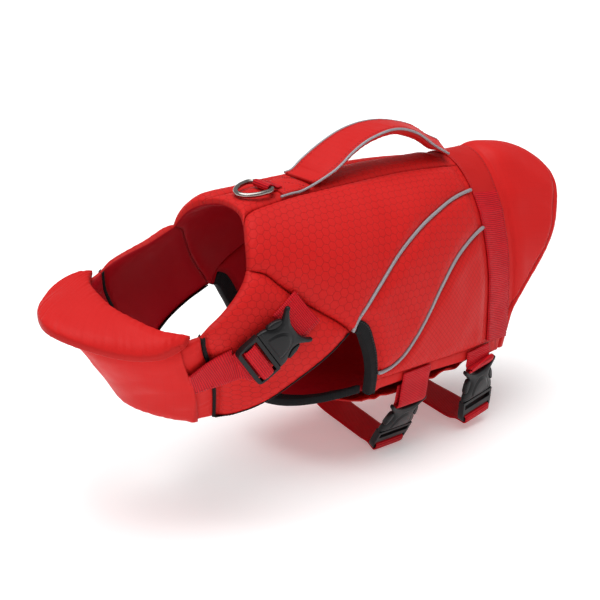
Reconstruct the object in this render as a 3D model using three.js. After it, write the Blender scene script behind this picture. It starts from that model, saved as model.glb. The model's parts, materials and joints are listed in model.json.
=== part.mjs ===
// Dog life jacket, filled out to the shape it has on a large dog. Millimetres, +Z up.
// +X runs towards the tail and -Y is the side that carries the belly buckles.
// Heights are first measured from a base level under the jacket, and at the end the whole
// jacket is moved so that the origin is the point of the back that carries it.

import * as THREE from 'three';

// Driving sizes of the jacket.
const TAIL_SEAM_X = 205;        // seam under the strap in front of the tail panel
const CARRY = { x: 60, z: 238 };   // where the dog's back carries the jacket, under the foam
const SEAM_GAP = 0.52;
const EDGE = 3;                 // half thickness of a panel at its seams
const FOAM_OUT = 8.5;           // height of the foam's outer face over the seam surface
const FOAM_IN = 5.5;            // depth of the foam's inner face under the seam surface
const SPINE_OUT = 6;
const ARM_OUT = 8;
const ARM_IN = 5;
const PUFF_RUN = 16;            // distance from a seam in which a panel reaches its full thickness
const WEBBING = { width: 38, thickness: 1.8 };
const TAPE = { cover: 12, wall: 1.2 };
const PIPING_RADIUS = 1.7;
const PIPING_LIFT = 1.4;
const HEM = 13;                 // height of the boxed hem along the bottom of the side
const HEM_OUT = 4.2;
const HEM_IN = 6;
const BELLY = { front: -50, corner: -2, rear: 190, sag: 25, rise: 4, edgeIn: 5.2, half: 2.5 };
const FLAP = {
  front: 2, rear: 184, edgeIn: 7, half: 1, drop: 1.4, sag: 12, sideDrop: 5, wave: 1.6, waveLength: 19,
};
const TAIL_OUT = 8;
const TAIL_IN = 7;
const SEWN = -0.7;              // how much nearer a strap lies where it is sewn down
const WEB_LIFT = 0.8;           // clear height under webbing that lies on a panel
const NEAR = -1;
const FAR = 1;

// The jacket leans: towards its front it rolls to the near side, and its lower half is skewed.
const LEAN = {
  skew: 0.19, skewStart: 60, skewEnd: -40, skewTop: 240, skewFull: 120,
  rollDegrees: 10, rollStart: -20, rollEnd: -170, rollZ: 160,
};

// Half sections of the back and sides. The upper part is a rounded arch from the crown down to
// the widest point, and the lower part falls from there to the foot.
const BODY = [
  { x: -112, crown: 248, wide: 62, wideZ: 180, square: 2.4, foot: 62, footZ: 120 },
  { x: -60, crown: 248, wide: 83, wideZ: 160, square: 2.2, foot: 84, footZ: 80 },
  { x: -20, crown: 248.5, wide: 95, wideZ: 145, square: 2.15, foot: 92, footZ: 60 },
  { x: 30, crown: 249, wide: 97, wideZ: 138, square: 2.1, foot: 88, footZ: 58 },
  { x: 100, crown: 249, wide: 93, wideZ: 130, square: 2.1, foot: 84, footZ: 55 },
  { x: 160, crown: 247, wide: 82, wideZ: 118, square: 2.0, foot: 79, footZ: 50 },
  { x: 205, crown: 246, wide: 71, wideZ: 105, square: 1.9, foot: 71, footZ: 46 },
  { x: 240, crown: 245, wide: 65, wideZ: 112, square: 1.9, foot: 61, footZ: 46 },
  { x: 300, crown: 229, wide: 60, wideZ: 125, square: 2.0, foot: 56, footZ: 50 },
  { x: 350, crown: 198, wide: 54, wideZ: 118, square: 2.0, foot: 50, footZ: 50 },
];

// Seams on one side of the body: x, and the distance s from the spine measured on the cloth.
const NECK_EDGE = [
  { x: -88, s: 0 }, { x: -90, s: 17 }, { x: -97, s: 34 }, { x: -105, s: 50 }, { x: -112, s: 73 },
];
const SPINE_SEAM = [
  { x: -97, s: 34 }, { x: -91, s: 27.5 }, { x: -80, s: 24 }, { x: -40, s: 24 }, { x: 205, s: 24 },
];
const SHOULDER_SEAM = [
  { x: -112, s: 73 }, { x: -98, s: 83 }, { x: -89, s: 96 }, { x: -69, s: 125 }, { x: -42, s: 157 },
  { x: -31, s: 171 },
];
const UPPER_PIPING = [
  { x: -31, s: 171 }, { x: -24, s: 160 }, { x: -5, s: 145.5 }, { x: 22, s: 128 }, { x: 52, s: 108.5 },
  { x: 83, s: 92 }, { x: 117, s: 77 }, { x: 152, s: 63 }, { x: 184, s: 54.5 }, { x: 205, s: 51 },
];
const LOWER_PIPING = [
  { x: -2, s: 222 }, { x: 17, s: 224 }, { x: 35, s: 221 }, { x: 51, s: 213 }, { x: 66, s: 197 },
  { x: 82, s: 175 }, { x: 99, s: 152 }, { x: 127, s: 125 }, { x: 157, s: 106 }, { x: 181, s: 95 },
  { x: 205, s: 87 },
];
const LEG_EDGE = [
  { x: -31, s: 171 }, { x: -21, s: 175 }, { x: -13, s: 190 }, { x: -6, s: 207 }, { x: -2, s: 222 },
];
const TAIL_EDGE = [
  { x: 334, s: 0 }, { x: 328, s: 33 }, { x: 314, s: 67 }, { x: 299, s: 102 }, { x: 279, s: 133 },
  { x: 254, s: 164 }, { x: 236, s: 189 }, { x: 228, s: 210 }, { x: 221, s: 228 },
];

// Front of the jacket on the near side, before it leans: the arm's edges and the chest.
const ARM_TOP = [
  { x: -120, y: -62, z: 205 }, { x: -134, y: -66, z: 195 }, { x: -152, y: -70, z: 186 },
  { x: -168, y: -72, z: 178 }, { x: -178, y: -72, z: 170 },
];
const ARM_LOW = [
  { x: -58, y: -94, z: 116 }, { x: -88, y: -87, z: 98 }, { x: -112, y: -76, z: 80 },
  { x: -130, y: -62, z: 68 }, { x: -141, y: -50, z: 62 },
];
const ARM_END = [
  { x: -178, y: -72, z: 170 }, { x: -175, y: -70, z: 153 }, { x: -164, y: -66, z: 128 },
  { x: -153, y: -60, z: 100 }, { x: -141, y: -50, z: 62 },
];
const CHEST_TOP = [
  { x: -180, y: -72, z: 168 }, { x: -204, y: -64, z: 160 }, { x: -230, y: -42, z: 155 },
  { x: -242, y: -16, z: 153 }, { x: -243, y: 0, z: 153 },
];
const CHEST_LOW = [
  { x: -143, y: -50, z: 62 }, { x: -162, y: -40, z: 60 }, { x: -179, y: -22, z: 62 },
  { x: -186, y: -8, z: 64 }, { x: -187, y: 0, z: 64 },
];
const FLAP_BACK = [
  { x: -188, y: -71, z: 173 }, { x: -203, y: -52, z: 172 }, { x: -211, y: -26, z: 172 },
  { x: -215, y: 0, z: 172 },
];
const FLAP_FRONT = [
  { x: -200, y: -78, z: 171 }, { x: -224, y: -75, z: 163 }, { x: -247, y: -60, z: 161 },
  { x: -272, y: -32, z: 166 }, { x: -284, y: 0, z: 169 },
];

// Handle over the spine. It leans a little, so its two edges run apart at the rear.
const HANDLE = { top: 2.5, depth: 7, edge: 1.5, sewn: 16, halfWidth: 21, run: 14 };
const HANDLE_NEAR = [
  { x: 0, z: 257 }, { x: 9, z: 257.6 }, { x: 31, z: 267 }, { x: 50, z: 279.5 }, { x: 70, z: 288 },
  { x: 103, z: 292.5 }, { x: 130, z: 284.5 }, { x: 157, z: 266 }, { x: 176, z: 254.5 },
];
const HANDLE_FAR = [
  { x: -2, z: 257 }, { x: 6, z: 258 }, { x: 20, z: 267 }, { x: 41, z: 278 }, { x: 66, z: 287.5 },
  { x: 90, z: 291.5 }, { x: 113, z: 291 }, { x: 134, z: 287 }, { x: 161, z: 278 },
  { x: 182, z: 265 }, { x: 200, z: 256 },
];
const EDGE_PIPING_RADIUS = 1.3;
const PATCH = { startX: -37, endX: -4, halfWidth: 21, thickness: 1.8 };

// Metal ring in front of the handle, and the folded tab that holds it.
const RING = { barX: -46, barZ: 258.8, halfBar: 15, side: 18, depth: 29, frontZ: 257.6, wire: 2.1 };
const TAB = { width: 24, thickness: 1.5, bend: 3.15 };

// Belly straps: x of the strap, where it meets its buckle, where the buckle ends, and the run
// below the belly to the far side.
const BELLY_STRAPS = [
  {
    word: 'front', x: 76, joint: { x: 75, y: -79, z: 21 }, end: { x: 72, y: -54, z: -25 },
    run: [
      { x: 73, y: -30, z: -27 }, { x: 74, y: 0, z: -24 }, { x: 75, y: 40, z: -18 },
      { x: 76, y: 64, z: -6 }, { x: 76, y: 82, z: 20 },
    ],
  },
  {
    word: 'rear', x: 171, joint: { x: 173, y: -83, z: 35 }, end: { x: 178, y: -73, z: -18 },
    run: [
      { x: 178, y: -52, z: -24 }, { x: 176, y: -20, z: -21 }, { x: 174, y: 20, z: -16 },
      { x: 172, y: 50, z: -6 }, { x: 171, y: 72, z: 18 },
    ],
  },
];

// Side-release buckle along its length: half width of the socket. The plug's frame follows it.
const BUCKLE = { length: 66, socketEnd: 40, waist: 9, halfFrame: 23, thickness: 7 };
const SOCKET_HALF = [
  { x: 0, half: 25 }, { x: 4, half: 24 }, { x: 8, half: 20.5 }, { x: 12, half: 17.4 },
  { x: 16, half: 16 }, { x: 22, half: 16.4 }, { x: 27, half: 19 }, { x: 31, half: 21.6 },
  { x: 36, half: 22.8 }, { x: 40, half: 23 },
];
const SLOTS = [{ from: 44, to: 50 }, { from: 56.5, to: 62 }];
const SLOT_HALF = 20.2;

// Body of the socket through its thickness, its curved side buttons, and the slack around them.
const SOCKET_DEPTH = { rim: 2.2, body: 1.6, crown: 2 };
const BUTTON = { from: 13, length: 16, gap: 0.4, reach: 1, bulge: 4.2, half: 3.2, slim: 0.35 };

// Webbing round the end bar of a belly buckle: radius of the bend, reach of the loop over the
// waist of the socket, and slack over and past the plug's frame.
const STRAP_LOOP = { bend: 2.4, reach: 5.4, slack: 0.6 };
const STRAP_FOLD = { bar: 59.2, corner: 1.5, slack: 0.3 };

// Neck webbing on the arm, as shares along the arm's panel and across it, and the places (a, n)
// of the buckle's frame where it goes over the bars of the plug.
const NECK_FRONT = [[1.13, 0.31], [1.06, 0.335], [0.98, 0.352], [0.88, 0.372], [0.78, 0.4]];
const NECK_REAR = [[0.3, 0.48], [0.19, 0.497], [0.1, 0.51], [0.02, 0.525]];
const NECK_BUCKLE = { start: [0.19, 0.498], middle: [0.44, 0.46], end: [0.69, 0.43], lift: 10 };
const OVER_BAR = [
  [68, -6.5], [63.5, -5.2], [60.4, -4.4], [59.2, -2.4], [59.2, 2.6], [58, 4.4], [56, 5],
  [51, 5], [48.6, 4.4], [47.2, 2.6], [47.2, -2.4],
];

const clothRed = new THREE.MeshStandardMaterial({ color: 0xc8201f, roughness: 0.75, metalness: 0 });
const plainRed = new THREE.MeshStandardMaterial({ color: 0xc01a1c, roughness: 0.7, metalness: 0 });
const webbingRed = new THREE.MeshStandardMaterial({ color: 0xb5121b, roughness: 0.65, metalness: 0 });
const tapeBlack = new THREE.MeshStandardMaterial({ color: 0x1b1a1c, roughness: 0.8, metalness: 0 });
const reflectiveGrey = new THREE.MeshStandardMaterial({ color: 0xa3a0a6, roughness: 0.4, metalness: 0.1 });
const plasticCharcoal = new THREE.MeshStandardMaterial({ color: 0x2b2b2e, roughness: 0.45, metalness: 0 });
const gunmetal = new THREE.MeshStandardMaterial({ color: 0x7d736c, roughness: 0.25, metalness: 1 });

const jacket = new THREE.Group();

function add(name, geometry, material) {
  const mesh = new THREE.Mesh(geometry, material);
  mesh.name = name;
  jacket.add(mesh);
  return mesh;
}

// Smooth value of a named column at x, with slopes taken from the neighbouring rows.
function column(table, key, x) {
  let i = 0;
  while (i < table.length - 2 && table[i + 1].x < x) {
    i += 1;
  }
  const slope = (k) => {
    const a = table[Math.max(k - 1, 0)];
    const b = table[Math.min(k + 1, table.length - 1)];
    return (b[key] - a[key]) / (b.x - a.x);
  };
  const a = table[i];
  const b = table[i + 1];
  const run = b.x - a.x;
  const t = THREE.MathUtils.clamp((x - a.x) / run, 0, 1);
  const t2 = t * t;
  const t3 = t2 * t;
  return (2 * t3 - 3 * t2 + 1) * a[key] + (t3 - 2 * t2 + t) * run * slope(i)
    + (3 * t2 - 2 * t3) * b[key] + (t3 - t2) * run * slope(i + 1);
}

// Half section at x as points [y, z, distance from the spine], from the crown to the foot.
const ARCH_STEPS = 28;
const WALL_STEPS = 10;
const sectionCache = new Map();

function halfSection(x) {
  const key = Math.round(x * 100);
  if (sectionCache.has(key)) {
    return sectionCache.get(key);
  }
  const at = (name) => column(BODY, name, x);
  const [crown, wide, wideZ, square] = [at('crown'), at('wide'), at('wideZ'), at('square')];
  const [foot, footZ] = [at('foot'), at('footZ')];
  const points = [];
  for (let i = 0; i <= ARCH_STEPS; i += 1) {
    const angle = (Math.PI / 2) * (i / ARCH_STEPS);
    const y = wide * Math.sin(angle) ** (2 / square);
    const z = wideZ + (crown - wideZ) * Math.cos(angle) ** (2 / square);
    points.push([y, z, 0]);
  }
  for (let i = 1; i <= WALL_STEPS; i += 1) {
    const t = i / WALL_STEPS;
    points.push([wide + (foot - wide) * t * t, wideZ + (footZ - wideZ) * t, 0]);
  }
  for (let i = 1; i < points.length; i += 1) {
    const [y0, z0, s0] = points[i - 1];
    points[i][2] = s0 + Math.hypot(points[i][0] - y0, points[i][1] - z0);
  }
  sectionCache.set(key, points);
  return points;
}

// Place on the half section at x, a distance s from the spine: y, z and the outward normal.
function onSection(x, s) {
  const points = halfSection(x);
  let i = 0;
  while (i < points.length - 2 && points[i + 1][2] < s) {
    i += 1;
  }
  const [y0, z0, s0] = points[i];
  const [y1, z1, s1] = points[i + 1];
  const t = (s - s0) / (s1 - s0);
  const normalAt = (k) => {
    const a = points[Math.max(k - 1, 0)];
    const b = points[Math.min(k + 1, points.length - 1)];
    const length = Math.hypot(b[0] - a[0], b[1] - a[1]);
    return k === 0 ? [0, 1] : [-(b[1] - a[1]) / length, (b[0] - a[0]) / length];
  };
  const [na, nb] = [normalAt(i), normalAt(i + 1)];
  const c = THREE.MathUtils.clamp(t, 0, 1);
  const ny = na[0] + (nb[0] - na[0]) * c;
  const nz = na[1] + (nb[1] - na[1]) * c;
  const length = Math.hypot(ny, nz);
  return { y: y0 + (y1 - y0) * t, z: z0 + (z1 - z0) * t, ny: ny / length, nz: nz / length };
}

// Point of the body surface before the lean. A negative s lies on the near side.
function onBody(x, s, offset) {
  const side = s < 0 ? NEAR : FAR;
  const place = onSection(x, Math.abs(s));
  return new THREE.Vector3(x, side * (place.y + place.ny * offset), place.z + place.nz * offset);
}

function bodyNormal(x, s) {
  const side = s < 0 ? NEAR : FAR;
  const place = onSection(x, Math.abs(s));
  return new THREE.Vector3(0, side * place.ny, place.nz);
}

// The lean of the finished jacket, which grows from the saddle to the neck.
function lean(point) {
  const forward = THREE.MathUtils.smoothstep(-point.x, -LEAN.skewStart, -LEAN.skewEnd);
  const low = THREE.MathUtils.smoothstep(-point.z, -LEAN.skewTop, -LEAN.skewFull);
  const rolled = THREE.MathUtils.smoothstep(-point.x, -LEAN.rollStart, -LEAN.rollEnd);
  const angle = THREE.MathUtils.degToRad(LEAN.rollDegrees) * rolled;
  const height = point.z - LEAN.rollZ;
  const x = point.x - LEAN.skew * forward * low * point.y;
  const y = point.y * Math.cos(angle) - height * Math.sin(angle);
  const z = LEAN.rollZ + point.y * Math.sin(angle) + height * Math.cos(angle);
  return new THREE.Vector3(x, y, z);
}

// Smooth curve through a table of points, sampled at the given shares of its length.
function sampleCurve(points, shares) {
  const curve = new THREE.CatmullRomCurve3(points, false, 'centripetal');
  curve.arcLengthDivisions = 400;
  return shares.map((share) => curve.getPointAt(share));
}

function even(count) {
  return Array.from({ length: count + 1 }, (unused, i) => i / count);
}

// Shares that lie closer together at both ends, at the start or at the end.
function closeEnds(count) {
  return even(count).map((t) => 0.35 * t + 0.65 * (0.5 - 0.5 * Math.cos(Math.PI * t)));
}

function closeStart(count) {
  return even(count).map((t) => 0.35 * t + 0.65 * (1 - Math.cos((Math.PI / 2) * t)));
}

function closeEnd(count) {
  return closeStart(count).map((t) => 1 - t).reverse();
}

// A seam of the body as points (x, s) with s negative on the near side.
function seam(table, side, shares) {
  return sampleCurve(table.map((row) => new THREE.Vector3(row.x, side * row.s, 0)), shares);
}

// Share of the whole length at each point of a line.
function lengthShares(line) {
  const shares = [0];
  for (let i = 1; i < line.length; i += 1) {
    shares.push(shares[i - 1] + line[i].distanceTo(line[i - 1]));
  }
  return shares.map((value) => value / shares[shares.length - 1]);
}

// Grid between four edge lines: top and bottom run the same way, left and right join them.
function fillGrid(top, bottom, left, right) {
  const us = lengthShares(top);
  const vs = lengthShares(left);
  const last = top.length - 1;
  return vs.map((v, j) => us.map((u, i) => {
    const point = new THREE.Vector3();
    point.addScaledVector(top[i], 1 - v).addScaledVector(bottom[i], v);
    point.addScaledVector(left[j], 1 - u).addScaledVector(right[j], u);
    point.addScaledVector(top[0], -(1 - u) * (1 - v)).addScaledVector(top[last], -u * (1 - v));
    point.addScaledVector(bottom[0], -(1 - u) * v).addScaledVector(bottom[last], -u * v);
    return point;
  }));
}

// Moves the border of a grid inwards, square to the border, so that neighbours stay apart.
function insetGrid(grid, distance) {
  const rows = grid.length - 1;
  const columns = grid[0].length - 1;
  const moved = grid.map((row) => row.map((point) => point.clone()));
  const shift = (j, i, towards, ahead, behind) => {
    const along = new THREE.Vector3().subVectors(ahead, behind).normalize();
    const step = new THREE.Vector3().subVectors(towards, grid[j][i]);
    step.addScaledVector(along, -step.dot(along));
    moved[j][i].addScaledVector(step.normalize(), distance);
  };
  for (let i = 0; i <= columns; i += 1) {
    const [left, right] = [Math.max(i - 1, 0), Math.min(i + 1, columns)];
    shift(0, i, grid[1][i], grid[0][right], grid[0][left]);
    shift(rows, i, grid[rows - 1][i], grid[rows][right], grid[rows][left]);
  }
  for (let j = 0; j <= rows; j += 1) {
    const [above, below] = [Math.max(j - 1, 0), Math.min(j + 1, rows)];
    shift(j, 0, grid[j][1], grid[below][0], grid[above][0]);
    shift(j, columns, grid[j][columns - 1], grid[below][columns], grid[above][columns]);
  }
  return moved;
}

// How far a panel has risen to its full thickness, 0 at the seams and 1 inside. A flat margin
// on a side keeps the panel thin there, as under a strap.
function puffGrid(grid, margins, run) {
  const rows = grid.length - 1;
  const columns = grid[0].length - 1;
  const rise = (distance) => {
    const t = THREE.MathUtils.clamp(distance / run, 0, 1);
    return Math.sqrt(1 - (1 - t) ** 2);
  };
  const walk = (list) => {
    const sums = [0];
    for (let i = 1; i < list.length; i += 1) {
      sums.push(sums[i - 1] + list[i].distanceTo(list[i - 1]));
    }
    return sums;
  };
  const across = grid.map((row) => walk(row));
  const down = grid[0].map((unused, i) => walk(grid.map((row) => row[i])));
  return grid.map((row, j) => row.map((unused, i) => {
    const fromLeft = across[j][i] - margins.left;
    const fromRight = across[j][columns] - across[j][i] - margins.right;
    const fromTop = down[i][j] - margins.top;
    const fromBottom = down[i][rows] - down[i][j] - margins.bottom;
    return rise(fromLeft) * rise(fromRight) * rise(fromTop) * rise(fromBottom);
  }));
}

// Closed body between an outer and an inner grid of points, with its faces pointing out.
function closedBody(outer, inner) {
  const rows = outer.length;
  const columns = outer[0].length;
  const positions = [];
  [outer, inner].forEach((grid) => grid.forEach((row) => row.forEach((point) => {
    positions.push(point.x, point.y, point.z);
  })));
  const out = (j, i) => j * columns + i;
  const back = (j, i) => rows * columns + j * columns + i;
  const index = [];
  for (let j = 0; j < rows - 1; j += 1) {
    for (let i = 0; i < columns - 1; i += 1) {
      index.push(out(j, i), out(j, i + 1), out(j + 1, i + 1));
      index.push(out(j, i), out(j + 1, i + 1), out(j + 1, i));
      index.push(back(j, i), back(j + 1, i + 1), back(j, i + 1));
      index.push(back(j, i), back(j + 1, i), back(j + 1, i + 1));
    }
  }
  const wall = (a, b, c, d) => index.push(a, b, c, a, c, d);
  for (let i = 0; i < columns - 1; i += 1) {
    wall(out(0, i + 1), out(0, i), back(0, i), back(0, i + 1));
    wall(out(rows - 1, i), out(rows - 1, i + 1), back(rows - 1, i + 1), back(rows - 1, i));
  }
  for (let j = 0; j < rows - 1; j += 1) {
    wall(out(j, 0), out(j + 1, 0), back(j + 1, 0), back(j, 0));
    wall(out(j + 1, columns - 1), out(j, columns - 1), back(j, columns - 1), back(j + 1, columns - 1));
  }
  return facingOut(positions, index);
}

function facingOut(positions, index) {
  const corner = (k) => new THREE.Vector3().fromArray(positions, 3 * index[k]);
  let volume = 0;
  for (let k = 0; k < index.length; k += 3) {
    volume += corner(k).dot(corner(k + 1).cross(corner(k + 2)));
  }
  if (volume < 0) {
    for (let k = 0; k < index.length; k += 3) {
      [index[k + 1], index[k + 2]] = [index[k + 2], index[k + 1]];
    }
  }
  const geometry = new THREE.BufferGeometry();
  geometry.setAttribute('position', new THREE.Float32BufferAttribute(positions, 3));
  geometry.setIndex(index);
  geometry.computeVertexNormals();
  return geometry;
}

// Normals of a grid of points in space, turned to the side on which `outside` says.
function gridNormals(grid, outside) {
  const rows = grid.length - 1;
  const columns = grid[0].length - 1;
  return grid.map((row, j) => row.map((point, i) => {
    const along = new THREE.Vector3().subVectors(row[Math.min(i + 1, columns)], row[Math.max(i - 1, 0)]);
    const down = new THREE.Vector3().subVectors(grid[Math.min(j + 1, rows)][i], grid[Math.max(j - 1, 0)][i]);
    const normal = along.cross(down).normalize();
    return normal.dot(outside(point)) < 0 ? normal.negate() : normal;
  }));
}

// Padded panel on the body surface, from a grid of (x, s) points.
function bodyPanel(name, grid, margins, material, height = FOAM_OUT, depth = FOAM_IN) {
  const inset = insetGrid(grid, SEAM_GAP / 2);
  const puff = puffGrid(inset, margins, PUFF_RUN);
  const layer = (sign, full) => inset.map((row, j) => row.map((point, i) => {
    const offset = EDGE + (full - EDGE) * puff[j][i];
    return lean(onBody(point.x, point.y, sign * offset));
  }));
  return add(name, closedBody(layer(1, height), layer(-1, depth)), material);
}

// Strip of constant width whose middle line, across direction and normal are given.
function ribbon(stations, width, thickness) {
  const row = (sign, side) => stations.map(({ point, across, normal }) => new THREE.Vector3()
    .copy(point).addScaledVector(across, side * width / 2).addScaledVector(normal, sign * thickness / 2));
  return closedBody([row(1, -1), row(1, 1)], [row(-1, -1), row(-1, 1)]);
}

// Round cord along a line of points. The ring at each point stands square to the line.
function cordAlong(line, radius, sides) {
  const positions = [];
  const index = [];
  let up = new THREE.Vector3(0, 0, 1);
  line.forEach((point, k) => {
    const ahead = line[Math.min(k + 1, line.length - 1)];
    const behind = line[Math.max(k - 1, 0)];
    const tangent = new THREE.Vector3().subVectors(ahead, behind).normalize();
    const right = new THREE.Vector3().crossVectors(tangent, up).normalize();
    up = new THREE.Vector3().crossVectors(right, tangent).normalize();
    for (let i = 0; i < sides; i += 1) {
      const angle = (2 * Math.PI * i) / sides;
      const ring = new THREE.Vector3().copy(point);
      ring.addScaledVector(right, radius * Math.cos(angle)).addScaledVector(up, radius * Math.sin(angle));
      positions.push(ring.x, ring.y, ring.z);
    }
  });
  for (let k = 0; k < line.length - 1; k += 1) {
    for (let i = 0; i < sides; i += 1) {
      const a = k * sides + i;
      const b = k * sides + ((i + 1) % sides);
      index.push(a, b, b + sides, a, b + sides, a + sides);
    }
  }
  const end = (line.length - 1) * sides;
  for (let i = 1; i < sides - 1; i += 1) {
    index.push(0, i + 1, i, end, end + i, end + i + 1);
  }
  return facingOut(positions, index);
}

const NO_MARGIN = { left: 0, right: 0, top: 0, bottom: 0 };
const UNDER_STRAP = WEBBING.width / 2 + 9;
const UNDER_TAPE = TAPE.cover + 6;

// Numbers of divisions. Panels that share a seam divide it alike.
const DIAGONAL = closeStart(7);
const PIPED = [0, 0.065, ...closeEnd(11).slice(1)];
const UPPER_DEPTH = closeEnds(6);
const MIDDLE_DEPTH = closeEnds(6);
const LOWER_DEPTH = closeEnds(4);
const HEM_DEPTH = even(2);

// Line of the section at x from one distance to another, divided by the given shares.
function across(x, from, to, shares) {
  return shares.map((share) => new THREE.Vector3(x, from + (to - from) * share, 0));
}

function footDistance(x) {
  const points = halfSection(x);
  return points[points.length - 1][2];
}

function sidePanels(side, word) {
  const shoulder = seam(SHOULDER_SEAM, side, DIAGONAL);
  const upperPiping = seam(UPPER_PIPING, side, PIPED);
  const lowerPiping = seam(LOWER_PIPING, side, PIPED);
  const legEdge = seam(LEG_EDGE, side, MIDDLE_DEPTH);
  const last = (line) => line[line.length - 1];
  const hemLine = (shares, above) => shares.map((share) => {
    const x = lowerPiping[0].x + (TAIL_SEAM_X - lowerPiping[0].x) * share;
    return new THREE.Vector3(x, side * (footDistance(x) - above), 0);
  });
  const bottom = hemLine(PIPED, HEM);
  const lowerEdge = across(bottom[0].x, lowerPiping[0].y, bottom[0].y, LOWER_DEPTH);

  const lowerLine = [...shoulder, ...upperPiping.slice(1)];
  const spineLine = seam(SPINE_SEAM, side, lengthShares(lowerLine));
  const neckLine = seam(NECK_EDGE.slice(2), side, UPPER_DEPTH);
  const rearUpper = across(TAIL_SEAM_X, last(spineLine).y, last(upperPiping).y, UPPER_DEPTH);
  const rearMiddle = across(TAIL_SEAM_X, last(upperPiping).y, last(lowerPiping).y, MIDDLE_DEPTH);
  const rearLower = across(TAIL_SEAM_X, last(lowerPiping).y, last(bottom).y, LOWER_DEPTH);
  const strapped = { left: 0, right: UNDER_STRAP, top: 0, bottom: 0 };
  const taped = { ...strapped, left: UNDER_TAPE };

  const upperGrid = fillGrid(spineLine, lowerLine, neckLine, rearUpper);
  const middleGrid = fillGrid(upperPiping, lowerPiping, legEdge, rearMiddle);
  const lowerGrid = fillGrid(lowerPiping, bottom, lowerEdge, rearLower);
  bodyPanel(`side_upper_panel_${word}`, upperGrid, strapped, clothRed);
  bodyPanel(`side_middle_panel_${word}`, middleGrid, taped, clothRed);
  bodyPanel(`side_lower_panel_${word}`, lowerGrid, { ...taped, top: 2 }, clothRed);

  const hemTop = hemLine(PIPED, HEM);
  const hemFoot = hemLine(PIPED, 0);
  const hemFront = HEM_DEPTH.map((share) => new THREE.Vector3().lerpVectors(hemTop[0], hemFoot[0], share));
  const [topEnd, footEnd] = [last(hemTop), last(hemFoot)];
  const hemRear = HEM_DEPTH.map((share) => new THREE.Vector3().lerpVectors(topEnd, footEnd, share));
  const hemGrid = fillGrid(hemTop, hemFoot, hemFront, hemRear);
  bodyPanel(`side_hem_${word}`, hemGrid, taped, plainRed, HEM_OUT, HEM_IN);
  const legLine = [...legEdge, ...lowerEdge.slice(1), ...hemFront.slice(1)];
  return { shoulder, upperPiping, lowerPiping, legLine };
}

const nearSeams = sidePanels(NEAR, 'near');
const farSeams = sidePanels(FAR, 'far');

function spinePanel() {
  const shares = closeEnds(18);
  const nearLine = seam(SPINE_SEAM, NEAR, shares);
  const farLine = seam(SPINE_SEAM, FAR, shares);
  const nearEdge = seam(NECK_EDGE.slice(0, 3), NEAR, even(3)).reverse();
  const farEdge = seam(NECK_EDGE.slice(0, 3), FAR, even(3));
  const neck = [...nearEdge, ...farEdge.slice(1)];
  const rear = across(TAIL_SEAM_X, nearLine[shares.length - 1].y, farLine[shares.length - 1].y, even(6));
  bodyPanel('spine_panel', fillGrid(nearLine, farLine, neck, rear),
    { left: 0, right: UNDER_STRAP, top: 0, bottom: 0 }, clothRed, SPINE_OUT, FOAM_IN);
}

spinePanel();

function tailPanel() {
  const shares = closeEnds(24);
  const foot = footDistance(TAIL_SEAM_X);
  const front = across(TAIL_SEAM_X, -foot, foot, shares);
  const nearHalf = TAIL_EDGE.map((row) => new THREE.Vector3(row.x, -row.s, 0)).reverse();
  const farHalf = TAIL_EDGE.slice(1).map((row) => new THREE.Vector3(row.x, row.s, 0));
  const rear = sampleCurve([...nearHalf, ...farHalf], shares);
  const depth = closeEnds(8);
  const joinLine = (a, b) => depth.map((share) => new THREE.Vector3().lerpVectors(a, b, share));
  const nearFoot = joinLine(front[0], rear[0]);
  const farFoot = joinLine(front[shares.length - 1], rear[shares.length - 1]);
  bodyPanel('tail_panel', fillGrid(front, rear, nearFoot, farFoot),
    { left: 0, right: 0, top: UNDER_STRAP, bottom: 0 }, plainRed, TAIL_OUT, TAIL_IN);
}

tailPanel();

// Cord on a seam of the body. It may start a little way along the seam, past the tape, and it
// stops at the strap in front of the tail.
function bodyPiping(name, line, start) {
  const first = new THREE.Vector3().lerpVectors(line[0], line[1], start);
  const stop = TAIL_SEAM_X - WEBBING.width / 2 - PIPING_RADIUS;
  const kept = line.filter((point) => point.x < stop);
  const [a, b] = [kept[kept.length - 1], line[kept.length]];
  const last = new THREE.Vector3().lerpVectors(a, b, (stop - a.x) / (b.x - a.x));
  const points = [first, ...kept.slice(1), last];
  const lifted = points.map((point) => lean(onBody(point.x, point.y, EDGE + PIPING_RADIUS + PIPING_LIFT)));
  add(name, cordAlong(lifted, PIPING_RADIUS, 6), reflectiveGrey);
}

// Arm, chest and chin.
const toVector = ({ x, y, z }) => new THREE.Vector3(x, y, z);

function mirrored(points, side) {
  return points.map((point) => new THREE.Vector3(point.x, -side * point.y, point.z));
}

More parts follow.
